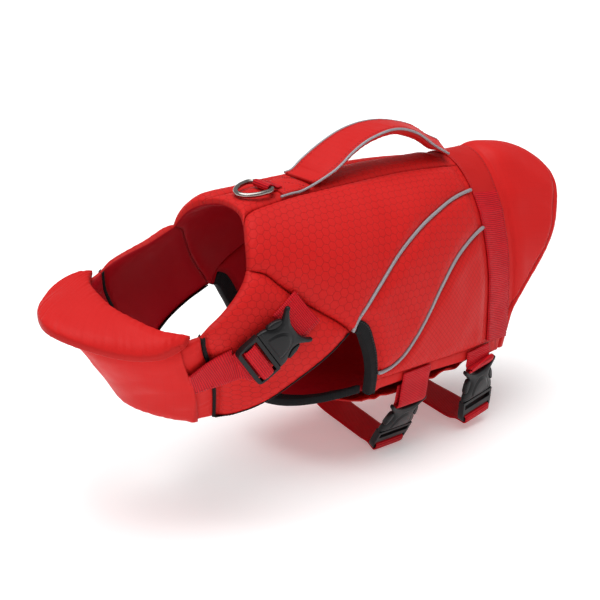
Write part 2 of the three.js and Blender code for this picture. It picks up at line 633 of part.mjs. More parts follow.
function armSurface(side, seams) {
  const rear = seams.shoulder.map((point) => onBody(point.x, point.y, 0));
  const rearNormals = seams.shoulder.map((point) => bodyNormal(point.x, point.y));
  const topPoints = [rear[0], ...mirrored(ARM_TOP.map(toVector), side)];
  const lowPoints = [rear[rear.length - 1], ...mirrored(ARM_LOW.map(toVector), side)];
  const lengthwise = closeEnds(10);
  const top = sampleCurve(topPoints, lengthwise);
  const low = sampleCurve(lowPoints, lengthwise);
  const end = sampleCurve(mirrored(ARM_END.map(toVector), side), lengthShares(rear));
  const grid = insetGrid(fillGrid(top, low, rear, end), SEAM_GAP / 2);
  const outside = (point) => new THREE.Vector3(0, point.y, 0.3 * Math.abs(point.y));
  const patch = gridNormals(grid, outside);
  const normals = grid.map((row, j) => row.map((point, i) => {
    const turn = THREE.MathUtils.smoothstep(i / (row.length - 1), 0, 0.4);
    return new THREE.Vector3().lerpVectors(rearNormals[j], patch[j][i], turn).normalize();
  }));
  const puff = puffGrid(grid, { ...NO_MARGIN, right: 7 }, PUFF_RUN);
  const at = (j, i, offset) => new THREE.Vector3().copy(grid[j][i]).addScaledVector(normals[j][i], offset);
  return { grid, normals, puff, at, endShares: lengthShares(rear) };
}

// Point over a surface's grid at the shares u along and v across, at a height over its base.
function overGrid(surface, u, v, height) {
  const rows = surface.grid.length - 1;
  const columns = surface.grid[0].length - 1;
  const us = lengthShares(surface.grid[Math.round(rows / 2)]);
  const vs = lengthShares(surface.grid.map((row) => row[Math.round(columns / 2)]));
  const find = (shares, value) => {
    let k = 0;
    while (k < shares.length - 2 && shares[k + 1] < value) {
      k += 1;
    }
    return [k, (value - shares[k]) / (shares[k + 1] - shares[k])];
  };
  const [i, a] = find(us, u);
  const [j, b] = find(vs, v);
  const along = (row) => {
    const [start, stop] = [surface.at(row, i, height), surface.at(row, i + 1, height)];
    return start.lerp(stop, a);
  };
  return along(j).lerp(along(j + 1), b);
}

function armPanel(surface, word) {
  const layer = (sign, full) => surface.grid.map((row, j) => row.map((unused, i) => {
    const offset = EDGE + (full - EDGE) * surface.puff[j][i];
    return lean(surface.at(j, i, sign * offset));
  }));
  add(`arm_panel_${word}`, closedBody(layer(1, ARM_OUT), layer(-1, ARM_IN)), clothRed);
}

const nearArm = armSurface(NEAR, nearSeams);
const farArm = armSurface(FAR, farSeams);
armPanel(nearArm, 'near');
armPanel(farArm, 'far');

// Line over the whole front from a near half, mirrored to the far side.
function wholeFront(half, shares, droop = 0) {
  const near = half.map(toVector);
  const lowered = (point) => new THREE.Vector3(point.x, -point.y, point.z + droop * point.y);
  const far = near.slice(0, -1).reverse().map(lowered);
  return sampleCurve([...near, ...far], shares);
}

// Padded piece between four lines in space, with its own outer height, inner depth and edge.
function paddedBand(name, grid, margins, material, outside, section) {
  const inset = insetGrid(grid, SEAM_GAP / 2);
  const normals = gridNormals(inset, outside);
  const puff = puffGrid(inset, margins, section.run);
  const layer = (sign, full) => inset.map((row, j) => row.map((point, i) => {
    const offset = section.edge + (full - section.edge) * puff[j][i];
    return lean(new THREE.Vector3().copy(point).addScaledVector(normals[j][i], sign * offset));
  }));
  add(name, closedBody(layer(1, section.top), layer(-1, section.depth)), material);
  return { inset, normals, puff };
}

const fromChest = (point) => new THREE.Vector3(point.x + 150, point.y, 0);

const CHEST = { top: 7, depth: 6, edge: EDGE, run: PUFF_RUN };
const CHEST_END = { x: 2.5, narrow: 0.983 };
const COVER = { gap: 0.5, wall: 2, skip: 3 };
const FAR_DROOP = 0.02;
const CHIN = { top: 9, depth: 7, edge: EDGE, run: PUFF_RUN };

function chest() {
  const shares = closeEnds(20);
  const top = wholeFront(CHEST_TOP, shares);
  const low = wholeFront(CHEST_LOW, shares);
  const end = (side) => nearArm.endShares.map((share) => {
    const [point] = sampleCurve(mirrored(ARM_END.map(toVector), side), [share]);
    return point.set(point.x - CHEST_END.x, point.y * CHEST_END.narrow, point.z);
  });
  const grid = fillGrid(top, low, end(NEAR), end(FAR));
  const band = paddedBand('chest_pad', grid, NO_MARGIN, plainRed, fromChest, CHEST);
  const layer = (extra) => band.inset.map((row, j) => row.slice(COVER.skip, -COVER.skip).map((point, k) => {
    const i = k + COVER.skip;
    const offset = CHEST.edge + (CHEST.top - CHEST.edge) * band.puff[j][i] + extra;
    return lean(new THREE.Vector3().copy(point).addScaledVector(band.normals[j][i], offset));
  }));
  add('chest_cover', closedBody(layer(COVER.gap + COVER.wall), layer(COVER.gap)), plainRed);
}

chest();

function chinFlap() {
  const shares = closeEnds(22);
  const back = wholeFront(FLAP_BACK, shares);
  const front = wholeFront(FLAP_FRONT, shares, FAR_DROOP);
  const depth = closeEnds(6);
  const joinLine = (a, b) => depth.map((share) => new THREE.Vector3().lerpVectors(a, b, share));
  const last = shares.length - 1;
  const grid = fillGrid(back, front, joinLine(back[0], front[0]), joinLine(back[last], front[last]));
  paddedBand('chin_flap', grid, NO_MARGIN, plainRed, () => new THREE.Vector3(0, 0, 1), CHIN);
}

chinFlap();

// Tape folded over an edge. Each station places a distance d from the edge and a height h over
// the middle of the cloth, whose half thickness there is given.
function foldedTape(name, stations, cover, half, lift) {
  const near = half + SEAM_GAP;
  const far = near + TAPE.wall;
  const out = -SEAM_GAP - TAPE.wall;
  const loop = [
    [cover, near + lift], [cover, far + lift], [out, far], [out, -far],
    [cover, -far - lift], [cover, -near - lift], [-SEAM_GAP, -near], [-SEAM_GAP, near],
  ];
  const positions = [];
  const index = [];
  stations.forEach((place) => loop.forEach(([d, h]) => {
    const point = place(d, h);
    positions.push(point.x, point.y, point.z);
  }));
  const size = loop.length;
  for (let k = 0; k < stations.length - 1; k += 1) {
    for (let i = 0; i < size; i += 1) {
      const a = k * size + i;
      const b = k * size + ((i + 1) % size);
      index.push(a, b, b + size, a, b + size, a + size);
    }
  }
  const end = (stations.length - 1) * size;
  const cap = [[0, 1, 2], [0, 2, 7], [7, 2, 3], [7, 3, 6], [6, 3, 4], [6, 4, 5]];
  cap.forEach(([a, b, c]) => index.push(a, c, b, end + a, end + b, end + c));
  add(name, facingOut(positions, index), tapeBlack);
}

function legTape(seams, word) {
  const line = seams.legLine;
  const start = new THREE.Vector3().lerpVectors(line[0], line[1], 0.9);
  const last = new THREE.Vector3().lerpVectors(line[line.length - 1], line[line.length - 2], 0.05);
  const points = [start, ...line.slice(2, -1), last];
  const stations = points.map((point, k) => {
    const ahead = points[Math.min(k + 1, points.length - 1)];
    const behind = points[Math.max(k - 1, 0)];
    const along = new THREE.Vector3().subVectors(ahead, behind).normalize();
    const inward = new THREE.Vector3(Math.abs(along.y), -along.x * Math.sign(along.y), 0);
    return (d, h) => lean(onBody(point.x + inward.x * d, point.y + inward.y * d, h));
  });
  foldedTape(`leg_tape_${word}`, stations, TAPE.cover, EDGE, 0);
}

legTape(nearSeams, 'near');
legTape(farSeams, 'far');

function armTapes(surface, word) {
  const rows = surface.grid.length - 1;
  const columns = surface.grid[0].length - 1;
  const station = (j, i, inJ, inI) => {
    const point = surface.grid[j][i];
    const inward = new THREE.Vector3().subVectors(surface.grid[inJ][inI], point).normalize();
    return (d, h) => lean(new THREE.Vector3().copy(point).addScaledVector(inward, d)
      .addScaledVector(surface.normals[j][i], h));
  };
  const endStations = surface.grid.map((unused, j) => station(j, columns, j, columns - 1));
  foldedTape(`arm_end_tape_${word}`, endStations, 4, EDGE, 0);
  const lowStations = [];
  for (let i = 1; i < columns; i += 1) {
    lowStations.push(station(rows, i, rows - 1, i));
  }
  foldedTape(`arm_low_tape_${word}`, lowStations, 3, EDGE, 0.9);
}

armTapes(nearArm, 'near');
armTapes(farArm, 'far');

// Belly sling between the hems.
function bellyEdge(x) {
  const at = Math.max(x, BELLY.corner);
  return column(BODY, 'foot', at) - BELLY.edgeIn;
}

function bellyPoint(x, y, lift) {
  const at = Math.max(x, BELLY.corner);
  const share = y / bellyEdge(x);
  const z = column(BODY, 'footZ', at) + BELLY.rise - BELLY.sag * (1 - share * share) + lift;
  return new THREE.Vector3(x, y, z);
}

function bellyFront(share) {
  return BELLY.front + (BELLY.corner - BELLY.front) * Math.abs(share) ** 2.4;
}

function bellyPanel() {
  const shares = closeEnds(14).map((t) => 2 * t - 1);
  const lengths = closeEnds(9);
  const grid = shares.map((share) => lengths.map((t) => {
    const x = bellyFront(share) + (BELLY.rear - bellyFront(share)) * t;
    return [x, share * bellyEdge(x)];
  }));
  const layer = (lift) => grid.map((row) => row.map(([x, y]) => lean(bellyPoint(x, y, lift))));
  add('belly_panel', closedBody(layer(BELLY.half), layer(-BELLY.half)), plainRed);

  const edge = shares.slice(1, -1).map((share) => {
    const x = bellyFront(share);
    return new THREE.Vector3(x, share * bellyEdge(x), 0);
  });
  const stations = edge.map((point, k) => {
    const ahead = edge[Math.min(k + 1, edge.length - 1)];
    const behind = edge[Math.max(k - 1, 0)];
    const along = new THREE.Vector3().subVectors(ahead, behind).normalize();
    return (d, h) => lean(bellyPoint(point.x + along.y * d, point.y - along.x * d, h));
  });
  foldedTape('belly_front_tape', stations, TAPE.cover, BELLY.half, 0.4);
}

bellyPanel();

// Loose flap with a gathered edge below the sling.
function bellyFlap() {
  const shares = closeEnds(10).map((t) => 2 * t - 1);
  const lengths = even(20);
  const layer = (lift) => shares.map((share) => lengths.map((t) => {
    const x = FLAP.front + (FLAP.rear - FLAP.front) * t;
    const y = share * (column(BODY, 'foot', x) - FLAP.edgeIn);
    const gather = FLAP.wave * Math.sin((2 * Math.PI * x) / FLAP.waveLength) * share ** 8;
    const sag = FLAP.sag * Math.sin(Math.PI * (0.15 + 0.85 * t));
    const drop = FLAP.drop + sag + FLAP.sideDrop * share ** 4 * (1 - t);
    return lean(bellyPoint(x, y, lift - BELLY.half - drop + gather));
  }));
  add('belly_flap', closedBody(layer(FLAP.half), layer(-FLAP.half)), plainRed);
}

bellyFlap();

// Strap over the seam in front of the tail panel.
function tailStrap() {
  const foot = footDistance(TAIL_SEAM_X) - HEM - 1;
  const stations = even(40).map((t) => foot * (2 * t - 1));
  const columns = even(3).map((t) => TAIL_SEAM_X + WEBBING.width * (t - 0.5));
  const layer = (offset) => stations.map((s) => columns.map((x) => {
    const limit = Math.min(Math.abs(s), footDistance(x)) * Math.sign(s);
    return lean(onBody(x, limit, offset));
  }));
  const base = EDGE + WEB_LIFT;
  add('tail_strap', closedBody(layer(base + WEBBING.thickness), layer(base)), webbingRed);
}

tailStrap();

// Handle, with a cord along both edges.
function handle() {
  const shares = closeEnds(26);
  const edgeLine = (table, y) => sampleCurve(table.map((row) => new THREE.Vector3(row.x, y, row.z)), shares);
  const near = edgeLine(HANDLE_NEAR, -HANDLE.halfWidth);
  const far = edgeLine(HANDLE_FAR, HANDLE.halfWidth);
  const width = closeEnds(6);
  const joinLine = (a, b) => width.map((share) => new THREE.Vector3().lerpVectors(a, b, share));
  const last = shares.length - 1;
  const grid = fillGrid(near, far, joinLine(near[0], far[0]), joinLine(near[last], far[last]));
  const up = () => new THREE.Vector3(0, 0, 1);
  const margins = { left: HANDLE.sewn, right: HANDLE.sewn, top: 0, bottom: 0 };
  const band = paddedBand('handle', grid, margins, plainRed, up, HANDLE);
  const cord = (row, side) => band.inset[row].map((point, i) => {
    const lifted = new THREE.Vector3().copy(point).addScaledVector(band.normals[row][i], HANDLE.edge);
    return lean(lifted.setY(point.y + side * (EDGE_PIPING_RADIUS + 0.45)));
  });
  add('handle_piping_near', cordAlong(cord(0, NEAR), EDGE_PIPING_RADIUS, 6), reflectiveGrey);
  add('handle_piping_far', cordAlong(cord(width.length - 1, FAR), EDGE_PIPING_RADIUS, 6), reflectiveGrey);
}

handle();

function handlePatch() {
  const stations = even(6).map((t) => PATCH.startX + (PATCH.endX - PATCH.startX) * t);
  const columns = even(8).map((t) => PATCH.halfWidth * (2 * t - 1));
  const base = SPINE_OUT + SEAM_GAP;
  const layer = (offset) => stations.map((x) => columns.map((s) => lean(onBody(x, s, offset))));
  add('handle_patch', closedBody(layer(base + PATCH.thickness), layer(base)), plainRed);
}

handlePatch();

// Ring and its tab.
function ringCord(line, radius, sides) {
  const positions = [];
  const index = [];
  const count = line.length;
  const centre = new THREE.Vector3();
  line.forEach((point) => centre.addScaledVector(point, 1 / count));
  line.forEach((point, k) => {
    const [ahead, behind] = [line[(k + 1) % count], line[(k + count - 1) % count]];
    const tangent = new THREE.Vector3().subVectors(ahead, behind).normalize();
    const out = new THREE.Vector3().subVectors(point, centre);
    out.addScaledVector(tangent, -out.dot(tangent)).normalize();
    const up = new THREE.Vector3().crossVectors(tangent, out).normalize();
    for (let i = 0; i < sides; i += 1) {
      const angle = (2 * Math.PI * i) / sides;
      const ring = new THREE.Vector3().copy(point);
      ring.addScaledVector(out, radius * Math.cos(angle)).addScaledVector(up, radius * Math.sin(angle));
      positions.push(ring.x, ring.y, ring.z);
    }
  });
  for (let k = 0; k < count; k += 1) {
    for (let i = 0; i < sides; i += 1) {
      const next = ((k + 1) % count) * sides;
      const [a, b] = [k * sides + i, k * sides + ((i + 1) % sides)];
      const [c, d] = [next + ((i + 1) % sides), next + i];
      index.push(a, b, c, a, c, d);
    }
  }
  return facingOut(positions, index);
}

function ringAndTab() {
  const line = [];
  even(6).forEach((t) => line.push(new THREE.Vector3(RING.barX, RING.halfBar * (2 * t - 1), RING.barZ)));
  even(18).forEach((t) => {
    const angle = Math.PI * (0.03 + 0.94 * t);
    const out = Math.sin(angle);
    const x = RING.barX - 3 - RING.depth * out;
    line.push(new THREE.Vector3(x, RING.side * Math.cos(angle), RING.barZ + (RING.frontZ - RING.barZ) * out));
  });
  add('ring', ringCord(line.map(lean), RING.wire, 8), gunmetal);

  const below = RING.barZ - TAB.bend;
  const path = [{ x: PATCH.startX - 0.5, z: below }, { x: RING.barX + 3, z: below }];
  even(8).forEach((t) => {
    const angle = Math.PI * (-0.5 - t);
    path.push({ x: RING.barX + TAB.bend * Math.cos(angle), z: RING.barZ + TAB.bend * Math.sin(angle) });
  });
  path.push({ x: RING.barX + 4.5, z: RING.barZ + 1.8 }, { x: PATCH.startX - 0.5, z: RING.barZ - 0.9 });
  const stations = path.map((place, k) => {
    const ahead = path[Math.min(k + 1, path.length - 1)];
    const behind = path[Math.max(k - 1, 0)];
    const normal = new THREE.Vector3(-(ahead.z - behind.z), 0, ahead.x - behind.x).normalize();
    return { point: new THREE.Vector3(place.x, 0, place.z), across: new THREE.Vector3(0, 1, 0), normal };
  });
  add('ring_tab', ribbon(stations, TAB.width, TAB.thickness), webbingRed);
}

ringAndTab();

// Buckle parts, in the buckle's own frame: a along it, w across it, n out of it.
function inFrame(frame, a, w, n) {
  return new THREE.Vector3().copy(frame.origin).addScaledVector(frame.axis, a)
    .addScaledVector(frame.width, w).addScaledVector(frame.normal, n);
}

function buckleSocket(name, frame) {
  const columns = [-1, -0.9, -0.7, -0.45, -0.2, 0, 0.2, 0.45, 0.7, 0.9, 1];
  const rows = [0, 0.08, 0.2, 0.32, 0.44, 0.56, 0.68, 0.8, 0.92, 1];
  const layer = (sign) => rows.map((t) => columns.map((c) => {
    const back = BUCKLE.waist * (1 - c ** 8);
    const a = back + (BUCKLE.socketEnd - back) * t;
    const ends = Math.min(1, Math.min(t, 1 - t) * 8);
    const side = 1 - Math.abs(c) ** 6;
    const crown = sign > 0 ? SOCKET_DEPTH.crown * (1 - c * c) * Math.sin(Math.PI * t) : 0;
    const n = SOCKET_DEPTH.rim + SOCKET_DEPTH.body * side * (0.5 + 0.5 * ends) + crown;
    return inFrame(frame, a, c * column(SOCKET_HALF, 'half', a), sign * n);
  }));
  add(`${name}_socket`, closedBody(layer(1), layer(-1)), plasticCharcoal);
}

function buckleButton(name, frame, side, word) {
  const rows = even(8);
  const layer = (n) => rows.map((t) => [0, 0.5, 1].map((c) => {
    const a = BUTTON.from + BUTTON.length * t;
    const inner = column(SOCKET_HALF, 'half', a) + BUTTON.gap;
    const bulge = BUTTON.reach + BUTTON.bulge * Math.sin(Math.PI * t);
    const slim = 1 - BUTTON.slim * c;
    return inFrame(frame, a, side * (inner + bulge * c), n * slim);
  }));
  add(`${name}_button_${word}`, closedBody(layer(BUTTON.half), layer(-BUTTON.half)), plasticCharcoal);
}

// Plug frame: a plate with two slots, its outer corners cut back at the free end.
function bucklePlug(name, frame) {
  const { halfFrame, length, socketEnd, thickness } = BUCKLE;
  const [first, second] = SLOTS;
  const lines = [
    { a: socketEnd + SEAM_GAP, half: halfFrame, slot: false },
    { a: first.from, half: halfFrame, slot: true },
    { a: first.to, half: halfFrame, slot: false },
    { a: second.from, half: halfFrame, slot: true },
    { a: second.to, half: halfFrame - 0.6, slot: false },
    { a: length - 1.2, half: halfFrame - 2, slot: false },
    { a: length, half: halfFrame - 4, slot: false },
  ];
  const inner = (row) => Math.min(SLOT_HALF, row.half - 0.5);
  const places = (row) => [-row.half, -inner(row), inner(row), row.half];
  const positions = [];
  [1, -1].forEach((sign) => lines.forEach((row) => places(row).forEach((w) => {
    const point = inFrame(frame, row.a, w, (sign * thickness) / 2);
    positions.push(point.x, point.y, point.z);
  })));
  const top = (j, i) => j * 4 + i;
  const under = (j, i) => (lines.length + j) * 4 + i;
  const present = (j, i) => j >= 0 && j < lines.length - 1 && i >= 0 && i < 3 && !(lines[j].slot && i === 1);
  const index = [];
  const quad = (p, q, r, t) => index.push(p, q, r, p, r, t);
  for (let j = 0; j < lines.length - 1; j += 1) {
    for (let i = 0; i < 3; i += 1) {
      if (present(j, i)) {
        quad(top(j, i), top(j, i + 1), top(j + 1, i + 1), top(j + 1, i));
        quad(under(j, i), under(j + 1, i), under(j + 1, i + 1), under(j, i + 1));
        if (!present(j - 1, i)) {
          quad(top(j, i + 1), top(j, i), under(j, i), under(j, i + 1));
        }
        if (!present(j + 1, i)) {
          quad(top(j + 1, i), top(j + 1, i + 1), under(j + 1, i + 1), under(j + 1, i));
        }
        if (!present(j, i - 1)) {
          quad(top(j, i), top(j + 1, i), under(j + 1, i), under(j, i));
        }
        if (!present(j, i + 1)) {
          quad(top(j + 1, i + 1), top(j, i + 1), under(j, i + 1), under(j + 1, i + 1));
        }
      }
    }
  }
  add(`${name}_plug`, facingOut(positions, index), plasticCharcoal);
}

function buckle(name, frame) {
  buckleSocket(name, frame);
  buckleButton(name, frame, -1, 'a');
  buckleButton(name, frame, 1, 'b');
  bucklePlug(name, frame);
}

function frameBetween(start, end, outward) {
  const axis = new THREE.Vector3().subVectors(end, start).normalize();
  const normal = new THREE.Vector3().copy(outward).addScaledVector(axis, -outward.dot(axis)).normalize();
  const width = new THREE.Vector3().crossVectors(normal, axis).normalize();
  return { origin: start, axis, normal, width };
}

// Flat strap through a list of points whose width runs along a given direction.
function strapStations(points, widthOf) {
  return points.map((point, k) => {
    const ahead = points[Math.min(k + 1, points.length - 1)];
    const behind = points[Math.max(k - 1, 0)];
    const tangent = new THREE.Vector3().subVectors(ahead, behind).normalize();
    const side = new THREE.Vector3().copy(widthOf(k));
    side.addScaledVector(tangent, -side.dot(tangent)).normalize();
    const normal = new THREE.Vector3().crossVectors(side, tangent).normalize();
    return { point, across: side, normal };
  });
}

function smoothThrough(points, count) {
  return sampleCurve(points, even(count));
}

function bellyStrap(strap) {
  const joint = lean(toVector(strap.joint));
  const end = lean(toVector(strap.end));
  const half = WEBBING.width / 2;
  const hemAt = (side, x) => lean(onBody(x, side * footDistance(x), 0));
  const hemAlong = (side) => hemAt(side, strap.x + half).sub(hemAt(side, strap.x - half));
  const [alongNear, alongFar] = [hemAlong(NEAR).normalize(), hemAlong(FAR).normalize()];
  const axis = new THREE.Vector3().subVectors(end, joint).normalize();
  const start = new THREE.Vector3().copy(joint).addScaledVector(axis, -BUCKLE.waist);
  const outward = new THREE.Vector3().crossVectors(axis, alongNear);
  const frame = frameBetween(start, end, outward);
  const name = `belly_buckle_${strap.word}`;
  buckle(name, frame);

  const offset = HEM_OUT + WEB_LIFT + WEBBING.thickness / 2;
  const foot = footDistance(strap.x);
  const onHem = (side, up, extra) => lean(onBody(strap.x, side * (foot - up), offset + extra));
  const { bend, reach, slack } = STRAP_LOOP;
  const turn = reach - WEBBING.thickness / 2 - bend;
  const down = [
    onHem(NEAR, HEM - 1, SEWN), onHem(NEAR, 5, 0), onHem(NEAR, -3, 0),
    inFrame(frame, -2, 0, bend + slack), inFrame(frame, turn, 0, bend),
  ];
  const arc = even(6).slice(1, -1).map((t) => {
    const angle = Math.PI * (0.5 - t);
    return inFrame(frame, turn + bend * Math.cos(angle), 0, bend * Math.sin(angle));
  });
  const up = [inFrame(frame, turn, 0, -bend), inFrame(frame, 0, 0, -bend - 0.2)];
  const underHem = onHem(NEAR, -6, -5.2);
  if (underHem.z > up[1].z + 4) {
    up.push(underHem);
  }
  const hang = [...smoothThrough(down, 12), ...arc, ...smoothThrough(up, 5)];
  const across = frame.width.clone().multiplyScalar(Math.sign(frame.width.dot(alongNear)));
  const hangStations = strapStations(hang, (k) => {
    const share = Math.min(1, k / 10, (hang.length - 1 - k) / 5);
    return new THREE.Vector3().lerpVectors(alongNear, across, share);
  });
  add(`belly_strap_loop_${strap.word}`, ribbon(hangStations, WEBBING.width, WEBBING.thickness), webbingRed);

  const { bar, corner } = STRAP_FOLD;
  const past = BUCKLE.length + WEBBING.thickness / 2 + slack;
  const level = BUCKLE.thickness / 2 + WEBBING.thickness / 2 + STRAP_FOLD.slack;
  const behind = inFrame(frame, past, 0, 2 - level);
  const fold = [
    inFrame(frame, bar, 0, 0), inFrame(frame, bar, 0, level - corner), inFrame(frame, 60.6, 0, level),
    inFrame(frame, past - corner, 0, level), inFrame(frame, past, 0, level - corner), behind,
  ];
  const run = [
    behind, inFrame(frame, past + 0.3, 0, -level - 3),
    ...strap.run.map((place) => lean(toVector(place))),
    onHem(FAR, -6, 1), onHem(FAR, 3, 0), onHem(FAR, HEM - 1, SEWN),
  ];
  const under = [...fold, ...smoothThrough(run, 30).slice(1)];
  const stations = strapStations(under, (k) => {
    const share = THREE.MathUtils.clamp((k - fold.length - 3) / 20, 0, 1);
    return new THREE.Vector3().lerpVectors(across, alongFar, share);
  });
  add(`belly_strap_${strap.word}`, ribbon(stations, WEBBING.width, WEBBING.thickness), webbingRed);
}

BELLY_STRAPS.forEach((strap) => bellyStrap(strap));

// Webbing on an arm: a row of points across the strap at each station, at a height over the arm.
function armRow(surface, u, v, direction, height) {
  const step = 0.02;
  const at = (du, dv) => overGrid(surface, u + du, v + dv, height);
  const alongU = new THREE.Vector3().subVectors(at(step, 0), at(-step, 0)).divideScalar(2 * step);
  const alongV = new THREE.Vector3().subVectors(at(0, step), at(0, -step)).divideScalar(2 * step);
  const normal = new THREE.Vector3().crossVectors(alongU, alongV).normalize();
  const tangent = new THREE.Vector3().addScaledVector(alongU, direction.u);
  tangent.addScaledVector(alongV, direction.v);
  const side = new THREE.Vector3().crossVectors(normal, tangent.normalize());
  const uu = alongU.dot(alongU);
  const vv = alongV.dot(alongV);
  const uv = alongU.dot(alongV);
  const det = uu * vv - uv * uv;
  const su = side.dot(alongU);
  const sv = side.dot(alongV);
  const du = (su * vv - sv * uv) / det;
  const dv = (sv * uu - su * uv) / det;
  return even(4).map((t) => {
    const w = WEBBING.width * (t - 0.5);
    return overGrid(surface, u + du * w, v + dv * w, height);
  });
}

// Strap on an arm that may go on over a bar of the buckle, as places (a, n) of its frame.
function armStrap(surface, name, path, count, frame, places) {
  const points = path.map(([u, v]) => new THREE.Vector3(u, v, 0));
  const line = smoothThrough(points, count);
  const base = ARM_OUT + WEB_LIFT;
  const half = WEBBING.thickness / 2;
  const layer = (sign) => {
    const rows = line.map((place, k) => {
      const ahead = line[Math.min(k + 1, count)];
      const behind = line[Math.max(k - 1, 0)];
      const direction = { u: ahead.x - behind.x, v: ahead.y - behind.y };
      return armRow(surface, place.x, place.y, direction, base + half + sign * half).map(lean);
    });
    places.forEach(([a, n], k) => {
      const [a1, n1] = places[Math.min(k + 1, places.length - 1)];
      const [a0, n0] = places[Math.max(k - 1, 0)];
      const length = Math.hypot(a1 - a0, n1 - n0);
      const [na, nn] = [(n1 - n0) / length, (a0 - a1) / length];
      rows.push(even(4).map((t) => inFrame(
        frame, a + na * sign * half, frame.turn * WEBBING.width * (t - 0.5), n + nn * sign * half)));
    });
    return rows;
  };
  add(name, closedBody(layer(1), layer(-1)), webbingRed);
}

function neckStraps(surface, side, word) {
  const start = lean(overGrid(surface, ...NECK_BUCKLE.start, ARM_OUT + NECK_BUCKLE.lift));
  const end = lean(overGrid(surface, ...NECK_BUCKLE.end, ARM_OUT + NECK_BUCKLE.lift));
  const below = lean(overGrid(surface, ...NECK_BUCKLE.middle, 0));
  const above = lean(overGrid(surface, ...NECK_BUCKLE.middle, 10));
  const frame = frameBetween(start, end, above.sub(below));
  buckle(`neck_buckle_${word}`, frame);
  frame.turn = side;
  armStrap(surface, `neck_strap_front_${word}`, NECK_FRONT, 14, frame, OVER_BAR);
  armStrap(surface, `neck_strap_rear_${word}`, NECK_REAR, 8, frame, []);
}

neckStraps(nearArm, NEAR, 'near');
neckStraps(farArm, FAR, 'far');

bodyPiping('upper_piping_near', nearSeams.upperPiping, 0);
bodyPiping('lower_piping_near', nearSeams.lowerPiping, 0.8);
bodyPiping('upper_piping_far', farSeams.upperPiping, 0);
bodyPiping('lower_piping_far', farSeams.lowerPiping, 0.8);

jacket.position.set(-CARRY.x, 0, -CARRY.z);

export default jacket;
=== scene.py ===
# %% [markdown]
# # A dog life jacket, dressed for a product photograph
# The solids of this jacket come from a CAD model. They are correct in size but plain, so every
# cloth piece is made again here with finer geometry, on the same named sizes, and each gets the
# cloth, webbing, tape or plastic of the real thing. Shapes are drawn in millimetres and turned
# into metres in one place, when a mesh is made. Materials, stitches and lights count in metres.

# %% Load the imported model
import json
import math

import bpy
import numpy as np
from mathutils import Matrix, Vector

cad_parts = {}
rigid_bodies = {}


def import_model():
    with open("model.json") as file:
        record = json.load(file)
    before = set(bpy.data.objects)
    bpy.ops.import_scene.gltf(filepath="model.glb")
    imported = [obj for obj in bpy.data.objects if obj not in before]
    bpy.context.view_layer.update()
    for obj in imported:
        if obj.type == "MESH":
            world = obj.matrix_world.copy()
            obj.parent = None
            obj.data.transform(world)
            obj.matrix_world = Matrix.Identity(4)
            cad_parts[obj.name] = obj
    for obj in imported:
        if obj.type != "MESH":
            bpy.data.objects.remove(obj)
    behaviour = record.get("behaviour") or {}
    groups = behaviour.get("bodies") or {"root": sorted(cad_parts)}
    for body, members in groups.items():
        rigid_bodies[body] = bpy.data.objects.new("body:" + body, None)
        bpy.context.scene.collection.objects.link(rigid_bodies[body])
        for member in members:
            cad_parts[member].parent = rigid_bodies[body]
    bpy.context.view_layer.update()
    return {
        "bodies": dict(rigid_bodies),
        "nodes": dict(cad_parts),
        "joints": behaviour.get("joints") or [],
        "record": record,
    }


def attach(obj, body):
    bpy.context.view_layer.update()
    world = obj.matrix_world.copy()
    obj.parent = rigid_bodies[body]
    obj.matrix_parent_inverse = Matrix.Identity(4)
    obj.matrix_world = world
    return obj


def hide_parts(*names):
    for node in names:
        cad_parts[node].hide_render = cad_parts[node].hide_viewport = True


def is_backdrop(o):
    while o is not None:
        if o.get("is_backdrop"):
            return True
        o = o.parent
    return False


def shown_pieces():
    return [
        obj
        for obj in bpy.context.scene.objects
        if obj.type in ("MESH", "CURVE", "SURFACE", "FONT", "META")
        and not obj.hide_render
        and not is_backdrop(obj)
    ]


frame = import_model()

# %% [markdown]
# ## Sizes of the jacket
# A table with named columns is easy to read and to change. The body of the jacket is a row of
# cross sections, and each seam is a short list of points on it: x along the back, and s, the
# distance from the spine measured over the cloth, as a tape measure would give it.

# %% Sizes in millimetres
CARRY = np.array([60.0, 0.0, 238.0])
TAIL_SEAM_X = 205.0
SEAM_GAP = 0.3
EDGE = 3.0
SEAM_EDGE = 1.6
FOAM_OUT = 8.5
FOAM_IN = 5.5
SPINE_OUT = 6.0
ARM_OUT = 8.0
ARM_IN = 5.0
PUFF_RUN = 16.0
HEM = 13.0
HEM_OUT = 4.2
HEM_IN = 6.0
TAIL_OUT, TAIL_IN, TAIL_STITCH = 8.0, 7.0, 8.5
CHEST_OUT, CHEST_IN = 7.0, 6.0
CHIN_OUT, CHIN_IN = 9.0, 7.0
HANDLE_OUT, HANDLE_IN, HANDLE_EDGE, HANDLE_RUN = 2.5, 7.0, 1.5, 14.0
WEBBING_WIDTH = 38.0
WEBBING_THICKNESS = 1.8
TAPE_COVER = 12.0
TAPE_WALL = 1.2
PIPING_RADIUS = 1.8
HANDLE_PIPING_RADIUS = 1.3
NEAR = -1
FAR = 1

LEAN = dict(skew=0.19, skew_start=60.0, skew_end=-40.0, skew_top=240.0, skew_full=120.0,
            roll_degrees=10.0, roll_start=-20.0, roll_end=-170.0, roll_z=160.0)

